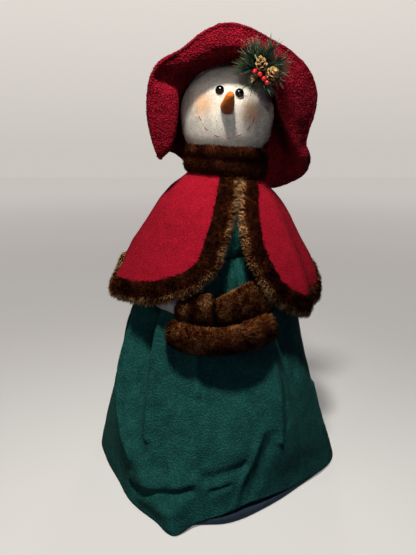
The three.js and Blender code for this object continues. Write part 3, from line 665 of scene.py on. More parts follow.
bodiceShape = {"sides": 120, "rows": 60, "gather": 1.5, "bottom": 366.4, "top": 500.4}
bodiceHalfWidth = through([(366, 61), (380, 66), (420, 71), (448, 66), (466, 50), (480, 42), (501, 39)])
leanOf = through([(366, 4), (440, 8), (501, 18)])
heights = np.linspace(bodiceShape["bottom"], bodiceShape["top"], bodiceShape["rows"])[:, None]
angles = np.linspace(-180, 180, bodiceShape["sides"], endpoint=False)[None, :]
ripple = np.cos(np.radians(angles * 30)) * bodiceShape["gather"] * (1 - ease(heights, 366, 392))
radius = bodiceHalfWidth(heights) + ripple
bodiceGrid = np.stack([
    leanOf(heights) + radius * np.sin(np.radians(angles)),
    -0.94 * radius * np.cos(np.radians(angles)) - pushedForward(angles, heights),
    heights + 0 * angles,
], -1)
points, faces = capped(bodiceGrid)
points = points + noiseVector(points, 30, 4.0) * 0.8
bodice = makePiece("bodice_fleece", points, faces, greenFleece, ["bodice"])


# Arms: white cloth sleeves with soft wrinkles at the bend

armShape = {"radius": 13.0, "steps": 90, "sides": 40, "wrinkle": 0.5}
armPaths = {
    "left": [
        (-50, 0, 446), (-76, -5, 420), (-97, -22, 388), (-105, -52, 352),
        (-94, -84, 326), (-73, -104, 309), (-48, -116, 303),
    ],
    "right": [
        (60, 0, 446), (90, -4, 424), (107, -20, 392), (112, -50, 358),
        (103, -80, 333), (86, -97, 320), (66, -104, 318),
    ],
}
for sideName, path in armPaths.items():
    crimp = lambda t: armShape["radius"] + armShape["wrinkle"] * np.sin(t * 70 + 3 * np.sin(t * 11))
    grid = rollGrid(path, crimp, crimp, armShape["steps"], armShape["sides"], 0.04)
    points, faces = capped(grid)
    points = points + noiseVector(points, 15, 6.0) * 1.4
    arm = makePiece(f"sleeve_{sideName}", points, faces, whiteCloth, [f"arm_{sideName}"])
print("bodice and arms made")


# Fur cuffs and muff: dark padded rolls with a golden-brown pile

furPile = {
    "length": 6.4, "uneven": 0.15, "tuft": 5.0, "drift": 0.4, "loose": 0.28, "lift": 0.85, "comb": 0.4,
    "droop": 0.15, "gather": 0.2, "sunk": 1.2, "width": 0.75,
}
furInset = 4.5  # from the fur's tips down to the roll under them
cuffDepth = 19  # half the most that a cuff is thick from front to back
cuffShapes = {
    "left": {
        "path": [(-50, -115, 298), (-38, -121, 300), (-21, -126, 302), (-3, -130, 303)],
        "half": through([(0, 17), (0.12, 23), (0.5, 26), (0.85, 26), (1, 21)]), "hairs": 17000,
    },
    "right": {
        "path": [(82, -98, 304), (62, -107, 310), (34, -119, 304), (1, -131, 297)],
        "half": through([(0, 17), (0.14, 26), (0.4, 31), (0.85, 25), (1, 20)]), "hairs": 24000,
    },
}
muffShape = {
    "path": [(-67, -122, 268), (-34, -139, 263), (8, -146, 262), (50, -140, 269), (86, -119, 277)],
    "halfHeight": through([(0, 20), (0.08, 23), (0.3, 23), (0.5, 21), (0.7, 22.5), (0.92, 23.5), (1, 21)]),
    "halfDepth": through([(0, 12), (0.08, 17), (0.5, 20), (0.92, 17), (1, 12)]),
    "hairs": 34000,
}


furTint = {"dark": 0.34, "patchy": 0.2, "spread": 0.05, "gold": 0.5, "goldPatchy": 0.3, "goldSpread": 0.08}


def furRoll(name, nodeName, grid, hairCount, seed, paintedLightOf):
    generator = np.random.default_rng(seed)
    points, faces = capped(grid)
    core = makePiece(name, points, faces, brownFur, [nodeName], tint=np.full(len(points), 0.3))
    roots = scatter(grid, hairCount, generator, closeColumns=True)
    faceAway(roots, grid.mean(1)[np.clip((roots["row"] * len(grid)).astype(int), 0, len(grid) - 1)])
    comb = laidOn(unit(roots["alongRows"] * 0.5 + np.array([0, 0, -0.6])), roots["out"])
    # random wide patches, partly painted sheen where the pile lies differently
    patches = softNoise(roots["at"], 15, 8.0) + 0.5 * softNoise(roots["at"], 6, 3.0)
    tone = furTint["dark"] + furTint["patchy"] * patches + generator.normal(0, furTint["spread"], hairCount)
    # painted light from above is added to the gold here
    gold = furTint["gold"] + furTint["goldPatchy"] * patches + paintedLightOf(roots)
    gold = np.clip(gold + generator.normal(0, furTint["goldSpread"], hairCount), 0.1, 1)
    makePile(name + "_pile", roots, comb, furPile, generator, np.clip(tone, 0.05, 1), gold)


# painted light: the cuffs' pile golder on upward-facing hairs and a little towards the right
paintedTopLight = lambda roots: 0.4 * roots["out"][:, 2] + 0.12 * roots["out"][:, 0]
for sideName, shape in cuffShapes.items():
    thin = lambda t: shape["half"](t) - furInset
    flat = lambda t: np.minimum(shape["half"](t), cuffDepth) - furInset
    grid = rollGrid(shape["path"], thin, flat, 44, 36, 0.07)
    furRoll(f"cuff_fur_{sideName}", f"cuff_{sideName}", grid, shape["hairs"], 21, paintedTopLight)
grid = rollGrid(
    muffShape["path"], lambda t: muffShape["halfHeight"](t) - furInset,
    lambda t: muffShape["halfDepth"](t) - furInset, 90, 44, 0.05,
)
# painted light: the muff's pile golder on upward-facing hairs
furRoll("muff_fur", "muff", grid, muffShape["hairs"], 22, lambda roots: 0.16 * roots["out"][:, 2])
print("cuffs and muff made")


# Cape: crimson fleece from the collar down, with a pleat on each side

capeShape = {
    "thickness": 4.0, "columns": 300, "rows": 70, "back": 0.76, "foldStart": 460, "foldRun": 160,
    "trimWidth": 31, "sideWidth": 24, "sideAzimuth": 99,  # the trim is wider at the sides
}
collarShape = {
    "height": 43, "radius": 68, "centre": (18, 0, 505.5), "lean": 5, "sides": 180, "hairs": 40000,
}
capeHalfWidth = through([
    (230, 160), (270, 163), (317, 164), (344, 154), (370, 141),
    (405, 121), (440, 100), (465, 78), (480, 62), (490, 53),
])
capeMiddle = through([(230, 0), (317, 1), (344, 5), (405, 6.5), (465, 8), (490, 14)])
capeFront = through([(230, 0.9), (330, 0.89), (400, 0.85), (460, 0.86), (490, 1)])
capeFolds = [  # azimuth, depth at the hem, width in degrees
    (-72, 6, 8), (-87, -6, 6), (-101, 10, 9), (52, 9, 7), (66, -10, 6), (82, 5, 9), (99, 8, 9),
    (-40, -3, 12), (30, -2, 9), (-140, 8, 14), (180, 9, 14), (138, 8, 14),
]


def capeDepth(azimuth, z):
    frontShare = (1 + np.cos(np.radians(azimuth))) / 2
    return mix(capeShape["back"], capeFront(z), frontShare)


def atSides(azimuth, place, width):  # 1 at both sides of the cape, 0 elsewhere
    return bump(wrap(azimuth + place), 0, width) + bump(wrap(azimuth - place), 0, width)


def capePoint(azimuth, z, more=0.0):
    growth = np.clip((capeShape["foldStart"] - z) / capeShape["foldRun"], 0, 1)
    radius = capeHalfWidth(z) + more
    for place, depth, width in capeFolds:
        radius = radius + depth * growth * bump(wrap(azimuth - place), 0, width)
    x = capeMiddle(z) + radius * np.sin(np.radians(azimuth))
    y = -radius * capeDepth(azimuth, z) * np.cos(np.radians(azimuth))
    return np.stack([x, y, z + 0 * x], -1)


def capeNormal(azimuth, z):
    down = capePoint(azimuth, z - 1) - capePoint(azimuth, z + 1)
    across = capePoint(azimuth + 0.5, z) - capePoint(azimuth - 0.5, z)
    return unit(np.cross(across, -down))


def collarBottom(x):
    slope = math.tan(math.radians(collarShape["lean"]))
    return collarShape["centre"][2] - collarShape["height"] / 2 - slope * (x - collarShape["centre"][0])


def neckEdge(azimuth):
    return collarBottom(14 + 58 * np.sin(np.radians(azimuth))) + 4.0


meeting = 26  # azimuth where the two front edges meet at the neck
capeEdge = curveThrough([(a, z, 0) for a, z in [
    (meeting, float(neckEdge(meeting))), (19, 460), (13.8, 440), (8.5, 413), (3.1, 383), (-1, 357), (-7.9, 340),
    (-14, 328), (-23.9, 316), (-31.4, 309), (-45.6, 303), (-60, 300), (-90, 298), (-135, 296), (-180, 296),
    (-225, 294), (-270, 286), (-302, 278), (-311, 282), (-322, 297), (-330.6, 315), (-335.5, 332),
    (-340.2, 355), (-343.8, 375), (-344.8, 407), (-344.4, 432), (-340, 460),
    (meeting - 359.4, float(neckEdge(meeting))),
]])
edgeSteps = 2001
edgeShares = evenShares(capeEdge, edgeSteps, 4000)


def seamOf(share):  # the line between fleece and fur, one trim width inside the edge
    place = lambda s: capeEdge(np.interp(s, np.linspace(0, 1, edgeSteps), edgeShares))
    edge = place(share)
    on = capePoint(edge[..., 0], edge[..., 1])
    before, after = place(np.maximum(share - 0.004, 0)), place(np.minimum(share + 0.004, 1))
    along = unit(capePoint(after[..., 0], after[..., 1]) - capePoint(before[..., 0], before[..., 1]))
    inward = unit(np.cross(along, capeNormal(edge[..., 0], edge[..., 1])))
    wider = capeShape["sideWidth"] * atSides(edge[..., 0], capeShape["sideAzimuth"], 14)
    target = on + inward * (capeShape["trimWidth"] + wider)[..., None]
    z = np.minimum(target[..., 2], neckEdge(edge[..., 0]))
    depth = -target[..., 1] / capeDepth(edge[..., 0], z)
    azimuth = np.degrees(np.arctan2(target[..., 0] - capeMiddle(z), depth))
    return edge, np.stack([edge[..., 0] + wrap(azimuth - edge[..., 0]), z], -1)


sideShare = 6 / 46  # share of the trim that runs along each front edge
steps = np.linspace(0, 1, capeShape["rows"])
u, v = np.linspace(0, 1, capeShape["columns"])[:, None, None], steps[None, :, None]
left = seamOf(steps * sideShare)[1][None]
right = seamOf(1 - steps * sideShare)[1][None]
hem = seamOf(mix(sideShare, 1 - sideShare, u[:, 0, 0]))[1][:, None]
neckAzimuth = mix(left[0, 0, 0], right[0, 0, 0], u[:, 0, 0])
neck = np.stack([neckAzimuth, neckEdge(neckAzimuth)], -1)[:, None]
corners = mix(mix(neck[:1], neck[-1:], u), mix(hem[:1], hem[-1:], u), v)
places = mix(neck, hem, v) + mix(left, right, u) - corners
capeGrid = capePoint(places[..., 0], places[..., 1])
normals = capeNormal(places[..., 0], places[..., 1])
fade = (ease(v, 0, 0.15) * (1 - ease(v, 0.8, 1)) * ease(u, 0, 0.05) * (1 - ease(u, 0.95, 1)))[..., 0]
dent = (softNoise(capeGrid, 48, 1.0) * 2.0 + softNoise(capeGrid, 15, 3.0) * 0.5) * fade
capeGrid = capeGrid + normals * dent[..., None]
points, faces = shell(capeGrid, -capeShape["thickness"], 0, normals=normals)
cape = makePiece("cape_fleece", points, faces, crimsonFleece, ["cape"])
print("cape made")


# Cape trim: a fur strip along the front edges and the hem, dark at the fleece and golden at its free edge

trimShape = {"steps": 520, "around": 26, "hairs": 62000, "reach": 0.92, "height": 4.6, "seed": 31}
trimPile = {
    "length": 7.5, "uneven": 0.2, "tuft": 6.0, "drift": 0.4, "loose": 0.25, "lift": 0.75, "comb": 0.55,
    "droop": 0.1, "gather": 0.25, "sunk": 1.0, "width": 0.8,
}
along = np.linspace(0, 1, trimShape["steps"])
edge, seam = seamOf(along)
fromPoint, toPoint = capePoint(seam[:, 0], seam[:, 1]), capePoint(edge[:, 0], edge[:, 1])
outAtSeam, outAtEdge = capeNormal(seam[:, 0], seam[:, 1]), capeNormal(edge[:, 0], edge[:, 1])
trimTint = {
    "dark": 0.09, "patchy": 0.1, "outward": 0.25, "sides": 0.6, "spread": 0.05, "fringe": 0.45,
    "gold": 0.2, "goldPatchy": 0.18, "goldFringe": 1.0, "goldLitSides": 1.0, "goldSpread": 0.08,
    "sideAzimuth": 92, "sideWidth": 20, "fringeFrom": 0.6, "fringeTo": 0.83, "past": 2.5,
}
angle = np.linspace(0, 2 * np.pi, trimShape["around"], endpoint=False)
across = (0.5 - 0.5 * np.cos(angle)) * trimShape["reach"] - 0.03
rise = np.sin(angle) * trimShape["height"] * np.where(np.sin(angle) > 0, 1.0, 0.7) - 1.0
closing = ease(np.minimum(along, 1 - along), 0, 0.02)[:, None, None]
outNow = unit(mix(outAtSeam[:, None], outAtEdge[:, None], across[None, :, None]))
trimGrid = mix(fromPoint[:, None], toPoint[:, None], across[None, :, None])
trimGrid = trimGrid + outNow * rise[None, :, None] * mix(0.3, 1.0, closing)
points, faces = capped(trimGrid)
trim = makePiece("cape_trim_fur", points, faces, brownFur, ["cape_trim"], np.full(len(points), 0.1))
generator = np.random.default_rng(trimShape["seed"])
roots = scatter(trimGrid, trimShape["hairs"], generator, closeColumns=True)
onRow = lambda values: np.stack([np.interp(roots["row"], along, values[:, k]) for k in range(3)], -1)
faceAway(roots, onRow(trimGrid.mean(1)))
edgeward = onRow(unit(toPoint - fromPoint))
share = (1 - np.cos(roots["column"] * 2 * np.pi)) / 2
# random wide patches, partly painted sheen where the pile lies differently
patches = softNoise(roots["at"], 15, 2.0)
azimuthNow = np.interp(roots["row"], along, edge[:, 0])
side = atSides(azimuthNow, trimTint["sideAzimuth"], trimTint["sideWidth"])  # painted light: paler where it wraps round the sides
tone = trimTint["dark"] + trimTint["patchy"] * patches + trimTint["outward"] * share**3 + trimTint["sides"] * side
tone = np.clip(tone + generator.normal(0, trimTint["spread"], len(share)), 0.02, 1)
free = ease(share, trimTint["fringeFrom"], trimTint["fringeTo"])
tone = tone + trimTint["fringe"] * free
gold = trimTint["gold"] + trimTint["goldPatchy"] * patches + trimTint["goldFringe"] * free
# painted light: more golden where the trim wraps round the sides
gold = gold + trimTint["goldLitSides"] * side + generator.normal(0, trimTint["goldSpread"], len(share))
roots["at"] = roots["at"] + edgeward * (trimTint["past"] * free * generator.random(len(free)))[:, None]
makePile("cape_trim_pile", roots, edgeward, trimPile, generator, tone, np.clip(gold, 0.05, 1))
print("cape trim made")


# Collar: a folded fur band with a crease half way up

collarPile = dict(furPile, length=5.6, comb=0.3)
collarTint = {"dark": 0.2, "patchy": 0.1, "spread": 0.05, "gold": 0.32, "goldPatchy": 0.12, "goldSpread": 0.07}
half = collarShape["height"] / 2
collarProfile = curveThrough([
    (48, -half + 4, 0), (54, -half + 1, 0), (60, -half + 3, 0), (63.5, -half + 9, 0), (62.5, -3, 0), (60, 1, 0),
    (62.5, 5, 0), (62.5, half - 8, 0), (59, half - 3, 0), (54, half - 3, 0), (50, half - 8, 0), (48, 0, 0),
], closed=True)
ring = collarProfile(np.linspace(0, 1, 49)[:-1])[:, :2]
collarGrid = latheGrid(ring, collarShape["sides"], (0, 0, 1), (0, 0, 0)).transpose(1, 0, 2)
tilt = math.radians(collarShape["lean"])
turnY = np.array([[math.cos(tilt), 0, math.sin(tilt)], [0, 1, 0], [-math.sin(tilt), 0, math.cos(tilt)]])
headShape = {"radius": 71, "centre": np.array([19, 0, 572.0]), "jowl": 0.06}  # collar and hat follow it too
collarGrid = collarGrid @ turnY.T + np.array(collarShape["centre"])
fromHead = collarGrid - headShape["centre"]
away = np.linalg.norm(fromHead, axis=-1, keepdims=True)
collarGrid = collarGrid + unit(fromHead) * np.clip(headShape["radius"] + 3 - away, 0, None)
faces = gridFaces(*collarGrid.shape[:2], closeRows=True, closeColumns=True)
collar = makePiece(
    "collar_fur", collarGrid, faces, brownFur, ["collar"], np.full(collarGrid[..., 0].size, 0.1),
)
generator = np.random.default_rng(41)
roots = scatter(collarGrid, collarShape["hairs"], generator, True, True)
fromAxis = roots["at"] - np.array(collarShape["centre"])
level = (fromAxis @ turnY)[:, 2]
ringMiddle = unit(fromAxis * [1, 1, 0]) * 56 + np.array(collarShape["centre"])
faceAway(roots, ringMiddle)
comb = laidOn(np.array([0, 0, 1.0]) * np.where(level > 1, 1, -1)[:, None], roots["out"])
# random wide patches, partly painted sheen where the pile lies differently
patches = softNoise(roots["at"], 18, 6.0)
lit = 0.25 * ease(roots["out"][:, 2], 0.0, 1.0) + 0.1 * ease(roots["at"][:, 0], 30, 80)
tone = collarTint["dark"] + collarTint["patchy"] * patches
tone = np.clip(tone + generator.normal(0, collarTint["spread"], len(level)), 0.03, 1)
gold = collarTint["gold"] + collarTint["goldPatchy"] * patches + lit
gold = np.clip(gold + generator.normal(0, collarTint["goldSpread"], len(level)), 0.05, 1)
gold = gold * mix(0.15, 1.0, ease(np.abs(level - 1), 1, 8))  # painted shade: dark in the crease
makePile("collar_pile", roots, comb, collarPile, generator, tone, gold)
print("collar made")


# Head: a white plush ball with full cheeks, a blush and a soft dent under the nose

def plushMaterial(name, look):
    material, tree, shader, place = startMaterial(name, 0.95, 0.1)
    felt = noiseNode(tree, place, look["felt"], 4.0, 1.2)
    cloud = noiseNode(tree, place, look["cloud"], 3.0)
    fine = rampNode(tree, felt, (0.3, look["dark"]), (0.62, look["light"]))
    wide = rampNode(tree, cloud, (0.38, look["grey"]), (0.6, white))
    color = multiplied(tree, multiplied(tree, fine, wide, 0.7), linear(*look["blush"]), tintNode(tree))
    finishMaterial(tree, shader, color, felt, 0.8, 1.2, (0.3, 0.5, (255, 255, 250)))
    return material


plush = plushMaterial("whitePlush", {
    "dark": (222, 216, 204), "light": (255, 251, 240), "grey": (222, 221, 220), "blush": (248, 180, 112),
    "felt": 2.2, "cloud": 15,
})
blushes = [(-32, 8.6, 13, 0.75), (27, -0.2, 12, 0.7)]  # azimuth, elevation, width in degrees, strength


def headWidening(z):
    return 1 + headShape["jowl"] * bump(z, -42, 18)


def onFace(azimuth, elevation, off=0.0):
    azimuth, elevation = np.radians(azimuth), np.radians(elevation)
    z = headShape["radius"] * np.sin(elevation)
    flat = headShape["radius"] * np.cos(elevation) * headWidening(z)
    p = np.stack([flat * np.sin(azimuth), -flat * np.cos(azimuth), z + 0 * flat], -1)
    return p + unit(p) * off + headShape["centre"]


def blushOf(directions):
    total = 0
    for azimuth, elevation, width, strength in blushes:
        middle = unit(onFace(azimuth, elevation) - headShape["centre"])
        total = total + strength * bump(degreesFrom(middle, directions), 0, width)
    return np.clip(total, 0, 1)


directions, faces = ball(6)
points = directions * headShape["radius"]
points[:, :2] *= headWidening(points[:, 2:])
under = unit(onFace(-1, -10) - headShape["centre"])
dentUnderNose = 1.6 * bump(degreesFrom(under, directions), 0, 9)
lumps = softNoise(points, 26, 2.0) * 1.0 + softNoise(points, 8, 4.0) * 0.35 - dentUnderNose - 0.4
points = points + directions * lumps[:, None] + headShape["centre"]
head = makePiece("head_plush", points, faces, plush, ["head"], tint=blushOf(directions))

fuzz = {
    "length": 2.6, "uneven": 0.2, "tuft": 3.5, "drift": 0.9, "loose": 0.45, "lift": 0.55, "comb": 0.1,
    "droop": 0.2, "gather": 0.3, "sunk": 0.4, "width": 0.45, "hairs": 16000,
}
generator = np.random.default_rng(51)
normals = unit(generator.normal(size=(fuzz["hairs"], 3)))
onBall = normals * headShape["radius"]
onBall[:, :2] *= headWidening(onBall[:, 2:])
roots = {"at": onBall + headShape["centre"] - normals * 0.6, "out": normals}
comb = unit(np.cross(normals, [0, 0, 1.0]) + np.array([0, 0, -0.4]))
plain = np.zeros(len(normals))
points, faces, tint, shading = hairs(roots, comb, fuzz, generator, plain, plain)
tint = np.repeat(blushOf(normals)[:, None], 5, 1)
makePiece("head_fuzz", points, faces, plush, (), tint, shading)
print("head made")


# Eyes, carrot nose and stitched smile

def glossMaterial(name, dark, light, roughness, coat, size, gloss=None):
    material, tree, shader, place = startMaterial(name, roughness, gloss)
    haze = noiseNode(tree, place, size)
    finishMaterial(tree, shader, rampNode(tree, haze, (0.3, dark), (0.7, light)))
    shader.inputs["Coat Weight"].default_value = coat
    shader.inputs["Coat Roughness"].default_value = 0.05
    return material


blackBead = glossMaterial("blackBead", (2, 2, 3), (5, 5, 7), 0.15, 0.2, 4, 0.2)
eyeShape = {"radius": 6.3, "dome": 0.85, "sides": 48, "left": (-11.3, 23.5), "right": (12.4, 19.9)}
for sideName in ("left", "right"):
    at = onFace(*eyeShape[sideName], 0.2)
    turn = np.linspace(0, math.pi / 2, 16)
    profile = np.stack([np.cos(turn) ** 0.85, eyeShape["dome"] * np.sin(turn)], -1) * eyeShape["radius"]
    profile[-1, 0] = 0.02
    profile = np.vstack([[eyeShape["radius"] * 0.9, -1.5], profile])
    grid = latheGrid(profile, eyeShape["sides"], at - headShape["centre"], at)
    points, faces = capped(grid)
    makePiece(f"eye_bead_{sideName}", points, faces, blackBead, [f"eye_{sideName}"])

noseShape = {"radius": 9.6, "steps": 60, "sides": 48, "creases": 7, "creaseDepth": 0.035}


def feltMaterial(name, dark, light):
    material, tree, shader, place = startMaterial(name, 0.9)
    felt = noiseNode(tree, place, 1.6, 4.0, 1.0)
    fine = rampNode(tree, felt, (0.3, (190, 180, 175)), (0.65, white))
    color = multiplied(tree, rampNode(tree, tintNode(tree), (0.0, dark), (1.0, light)), fine)
    finishMaterial(tree, shader, color, felt, 0.5, 0.6, (0.25, 0.4, (255, 190, 120)))
    return material


# the dark colour is the nose's painted shade underneath, the light colour its painted light on top
orangeFelt = feltMaterial("orangeFelt", (150, 54, 8), (250, 128, 20))
root = onFace(-2.1, 4.5, 0.3)
nosePath = curveThrough(root + np.array([(0, 0.9, 0), (0.4, -9, 1.5), (1.8, -20, 7), (3.6, -30, 15.5)]))
noseRadius = through([
    (0, noseShape["radius"] - 0.8), (0.12, noseShape["radius"]), (0.45, 8.6), (0.8, 6.4), (0.93, 5.0), (0.985, 3.0),
    (1, 0.6),
])
t = np.linspace(0, 1, noseShape["steps"]) ** 0.85
centre = nosePath(t)
tangent = unit(np.gradient(centre, axis=0))
sideways = unit(np.cross(tangent, [0, 0, 1.0]))
upright = np.cross(sideways, tangent)
ripple = 1 - noseShape["creaseDepth"] * (0.5 + 0.5 * np.sin(t * noseShape["creases"] * 2 * np.pi)) ** 4
ring = ringsAround(sideways, upright, noseShape["sides"])
noseGrid = centre[:, None] + ring * (noseRadius(t) * ripple)[:, None, None]
points, faces = capped(noseGrid)
points = points + noiseVector(points, 6, 3.0) * 0.25
# painted light and shade: lighter towards the top, darker underneath, with random felt mottling
paintedLightFromAbove = np.clip(0.5 + 0.055 * (points[:, 2] - root[2]) + 0.1 * softNoise(points, 5, 1.0), 0, 1)
makePiece("nose_felt", points, faces, orangeFelt, ["nose"], tint=paintedLightFromAbove)

redThread = feltMaterial("redThread", (150, 40, 52), (206, 92, 100))
smile = {
    "middle": (-2, 5), "radius": 34.7, "stitches": [-70, -47, -22, 3, 26, 49, 66], "half": 4.6, "thick": 0.5,
    "steps": 24, "sides": 10, "dip": 1.6, "twists": 2.5,
}
parts = []
for stitchPlace in smile["stitches"]:
    turn = np.radians(np.linspace(stitchPlace - smile["half"], stitchPlace + smile["half"], smile["steps"]))
    line = onFace(
        smile["middle"][0] + smile["radius"] * np.sin(turn),
        smile["middle"][1] - smile["radius"] * np.cos(turn), 0.5,
    )
    out = unit(line - headShape["centre"])
    run = unit(np.gradient(line, axis=0))
    dip = smile["dip"] * (np.abs(np.linspace(-1, 1, smile["steps"])) ** 6)  # both ends go down into the plush
    ply = np.linspace(0, 2 * np.pi, smile["sides"], endpoint=False)
    twist = np.linspace(0, smile["twists"] * 2 * np.pi, smile["steps"])[:, None]
    swell = smile["thick"] * (1 + 0.18 * np.cos(2 * (ply[None] + twist)))
    ring = ringsAround(out, np.cross(out, run), smile["sides"])
    grid = (line - out * dip[:, None])[:, None] + ring * swell[..., None]
    parts.append((*capped(grid), 0.5))
points, faces, tint = joined(parts)
makePiece("smile_thread", points, faces, redThread, [f"mouth_stitch_{i}" for i in range(1, 8)], tint)
print("face made")


# Hat: a gathered crown behind, and a floppy brim that turns out at its edge

hatShape = {
    "axis": (0, 0.788, 0.616), "offset": 26, "inside": 74.5, "wall": 4.0, "puff": 1.12,
    "brimThickness": 4.0, "brimRows": 400, "brimColumns": 66, "edgeColumns": 15, "edgeFrom": 0.93, "roll": 0.75,
    "nap": 0.55, "gathers": 26, "gatherDepth": 1.3, "crownSides": 220, "crownRows": 60, "lineSteps": 400,
}
hatAxis = unit(np.array(hatShape["axis"]))
upward = unit(np.cross([1, 0, 0], hatAxis))
seamRadius = math.sqrt(hatShape["inside"] ** 2 - hatShape["offset"] ** 2) + hatShape["wall"] / 2
hatMiddle = headShape["centre"] + hatAxis * hatShape["offset"]

start = math.asin(hatShape["offset"] / hatShape["inside"])
turn = np.linspace(start, math.pi / 2 - 0.004, hatShape["crownRows"])


def domeProfile(radius, angles):
    height = hatShape["offset"] + (radius * np.sin(angles) - hatShape["offset"]) * hatShape["puff"]
    return np.stack([radius * np.cos(angles), height], -1)


outer = domeProfile(hatShape["inside"] + hatShape["wall"], turn)
outer[0] = (domeProfile(hatShape["inside"], turn[:1])[0, 0] + hatShape["wall"], hatShape["offset"])
inner = domeProfile(hatShape["inside"], turn)
profile = np.vstack([inner[::-1], outer])
crownGrid = latheGrid(profile, hatShape["crownSides"], hatAxis, headShape["centre"])
turned = np.linspace(0, 2 * np.pi, hatShape["crownSides"], endpoint=False)
nearSeam = bump(profile[:, 1], hatShape["offset"], 26)[:, None]
wave = np.sin(hatShape["gathers"] * turned + 2 * np.sin(3 * turned))[None] * nearSeam * hatShape["gatherDepth"]
crownOut = unit(crownGrid - hatMiddle)
outside = (np.arange(len(profile)) >= len(inner))[:, None]
softDents = softNoise(crownGrid, 40, 7.0) * 2.2 + softNoise(crownGrid, 4.0, 2.0) * hatShape["nap"]
crownGrid = crownGrid + crownOut * ((wave + softDents) * outside * ease(profile[:, 1], 26, 34)[:, None])[..., None]
points, faces = capped(crownGrid)
crown = makePiece("hat_crown_fleece", points, faces, darkRedFleece, ["hat_crown"])

brimEdge = curveThrough([
    (-83, -45, 508), (-92, -57, 540), (-96, -64, 575), (-93, -70, 601), (-87, -72, 619), (-75, -80, 634),
    (-44, -86, 650), (-20, -88, 667), (11, -88, 679), (42, -86, 675), (72, -80, 662), (100, -74, 649),
    (126, -65, 628), (143, -54, 599), (143, -46, 571), (136, -39, 546), (134, -34, 528), (143, -26, 510),
    (140, -5, 488), (124, 20, 471), (98, 45, 460), (66, 72, 462), (20, 84, 468), (-26, 76, 482),
    (-57, 48, 509), (-73, 16, 519), (-82, -14, 514),
], closed=True)
brimCrest = curveThrough([
    (-67, -58, 522), (-61, -66, 541), (-56, -68, 567), (-56, -68, 593), (-58, -56, 611), (-53, -74, 626),
    (-33, -82, 633), (-8, -87, 645), (15, -89, 650), (40, -88, 647), (64, -86, 636), (82, -82, 618),
    (89, -82, 600), (88, -79, 585), (93, -73, 566), (102, -66, 547), (112, -58, 530), (124, -46, 510),
    (130, -22, 492), (116, 6, 480), (94, 34, 470), (68, 66, 474), (20, 80, 480), (-24, 72, 492),
    (-52, 46, 518), (-66, 14, 526), (-70, -22, 524),
], closed=True)


def pushedOut(p):  # outside the head, and outside the collar behind the neck
    fromHead = p - headShape["centre"]
    away = np.linalg.norm(fromHead, axis=-1, keepdims=True)
    least = (headShape["radius"] + hatShape["brimThickness"]) * headWidening(fromHead[:, 2:]) + 0.6
    p = p + unit(fromHead) * np.clip(least - away, 0, None)
    flat = (p - np.array(collarShape["centre"])) * [1, 1, 0]
    reach = np.linalg.norm(flat, axis=-1, keepdims=True)
    collarTop = collarBottom(p[:, :1]) + collarShape["height"]
    low = 1 - ease(p[:, 2:], collarTop - 4, collarTop + 6)
    return p + unit(flat) * np.clip(collarShape["radius"] + 3 - reach, 0, None) * low


plainColumns = hatShape["brimColumns"] - hatShape["edgeColumns"]
columnShares = np.r_[
    np.linspace(0, hatShape["edgeFrom"], plainColumns, endpoint=False),
    np.linspace(hatShape["edgeFrom"], 1, hatShape["edgeColumns"]),
]
rows = []
for share in np.linspace(0, 1, hatShape["brimRows"], endpoint=False):
    end, crest = brimEdge(share), brimCrest(share)
    reach = end - hatMiddle
    angle = math.atan2(reach @ upward, reach[0])
    hug = float(ease(math.sin(angle), -0.85, -0.1))
    radial = np.array([math.cos(angle), 0, 0]) + upward * math.sin(angle)
    start = hatMiddle + radial * seamRadius - hatAxis * (0.8 + (1 - hug) * hatShape["brimThickness"] / 2)
    begin = start - hatAxis * 9 * hug + radial * 9 * (1 - hug)
    outward = unit(begin - headShape["centre"])
    throat = mix(begin, crest, 0.45) + outward * 5
    line = curveThrough([start, begin, throat, crest, end])
    even = evenShares(line, hatShape["lineSteps"], hatShape["lineSteps"])
    p = line(np.interp(columnShares, np.linspace(0, 1, hatShape["lineSteps"]), even))
    p[1:] = pushedOut(p[1:])
    rows.append(p)
brimGrid = np.array(rows)
out = gridNormals(brimGrid, closeRows=True)
shareOut = columnShares[None, :, None]
lumps = softNoise(brimGrid, 30, 3.0)[..., None] * 1.6 * ease(shareOut, 0.25, 0.6)
brimGrid = brimGrid + out * lumps
rolled = 1 + hatShape["roll"] * bump(shareOut, 0.968, 0.022)  # the edge is turned and sewn into a roll
rounded = np.sqrt(np.clip(1 - ((shareOut - 0.97) / 0.0305) ** 2, 0.02, 1))
thick = hatShape["brimThickness"] / 2 * rolled * np.where(shareOut > 0.97, rounded, 1)
points, faces = shell(brimGrid, -thick, thick, closeRows=True)
points = points + noiseVector(points, 3.4, 5.0) * hatShape["nap"] + noiseVector(points, 8, 2.0) * 0.5
brim = makePiece("hat_brim_fleece", points, faces, darkRedFleece, ["hat_brim"])

napPile = {
    "length": 1.9, "uneven": 0.2, "tuft": 3.0, "drift": 1.0, "loose": 0.5, "lift": 0.5, "comb": 0.1,
    "droop": 0.5, "gather": 0.3, "sunk": 0.5, "width": 0.8,
}
generator = np.random.default_rng(61)
toFace = gridNormals(brimGrid, True) * thick
for name, grid, hairCount in (
    ("hat_brim_nap_front", (brimGrid - toFace)[:, 8:], 40000),
    ("hat_brim_nap_back", (brimGrid + toFace)[:, 4:], 20000),
    ("hat_crown_nap", crownGrid[len(inner):], 11000),
):
    onCrown = name == "hat_crown_nap"
    roots = scatter(grid, hairCount, generator, closeRows=not onCrown, closeColumns=onCrown)
    if name == "hat_brim_nap_front":
        roots["out"] = -roots["out"]
    if onCrown:
        faceAway(roots, hatMiddle)
    tone = np.clip(0.4 + generator.normal(0, 0.15, hairCount), 0, 1)
    gold = 0.55 + 0.25 * softNoise(roots["at"], 5, 1.0) + generator.normal(0, 0.18, hairCount)
    makePile(
        name, roots, roots["alongColumns"], napPile, generator, tone, np.clip(gold, 0, 1), redNap,
    )
print("hat made")


# Overlocked edge: short threads laid side by side round the brim

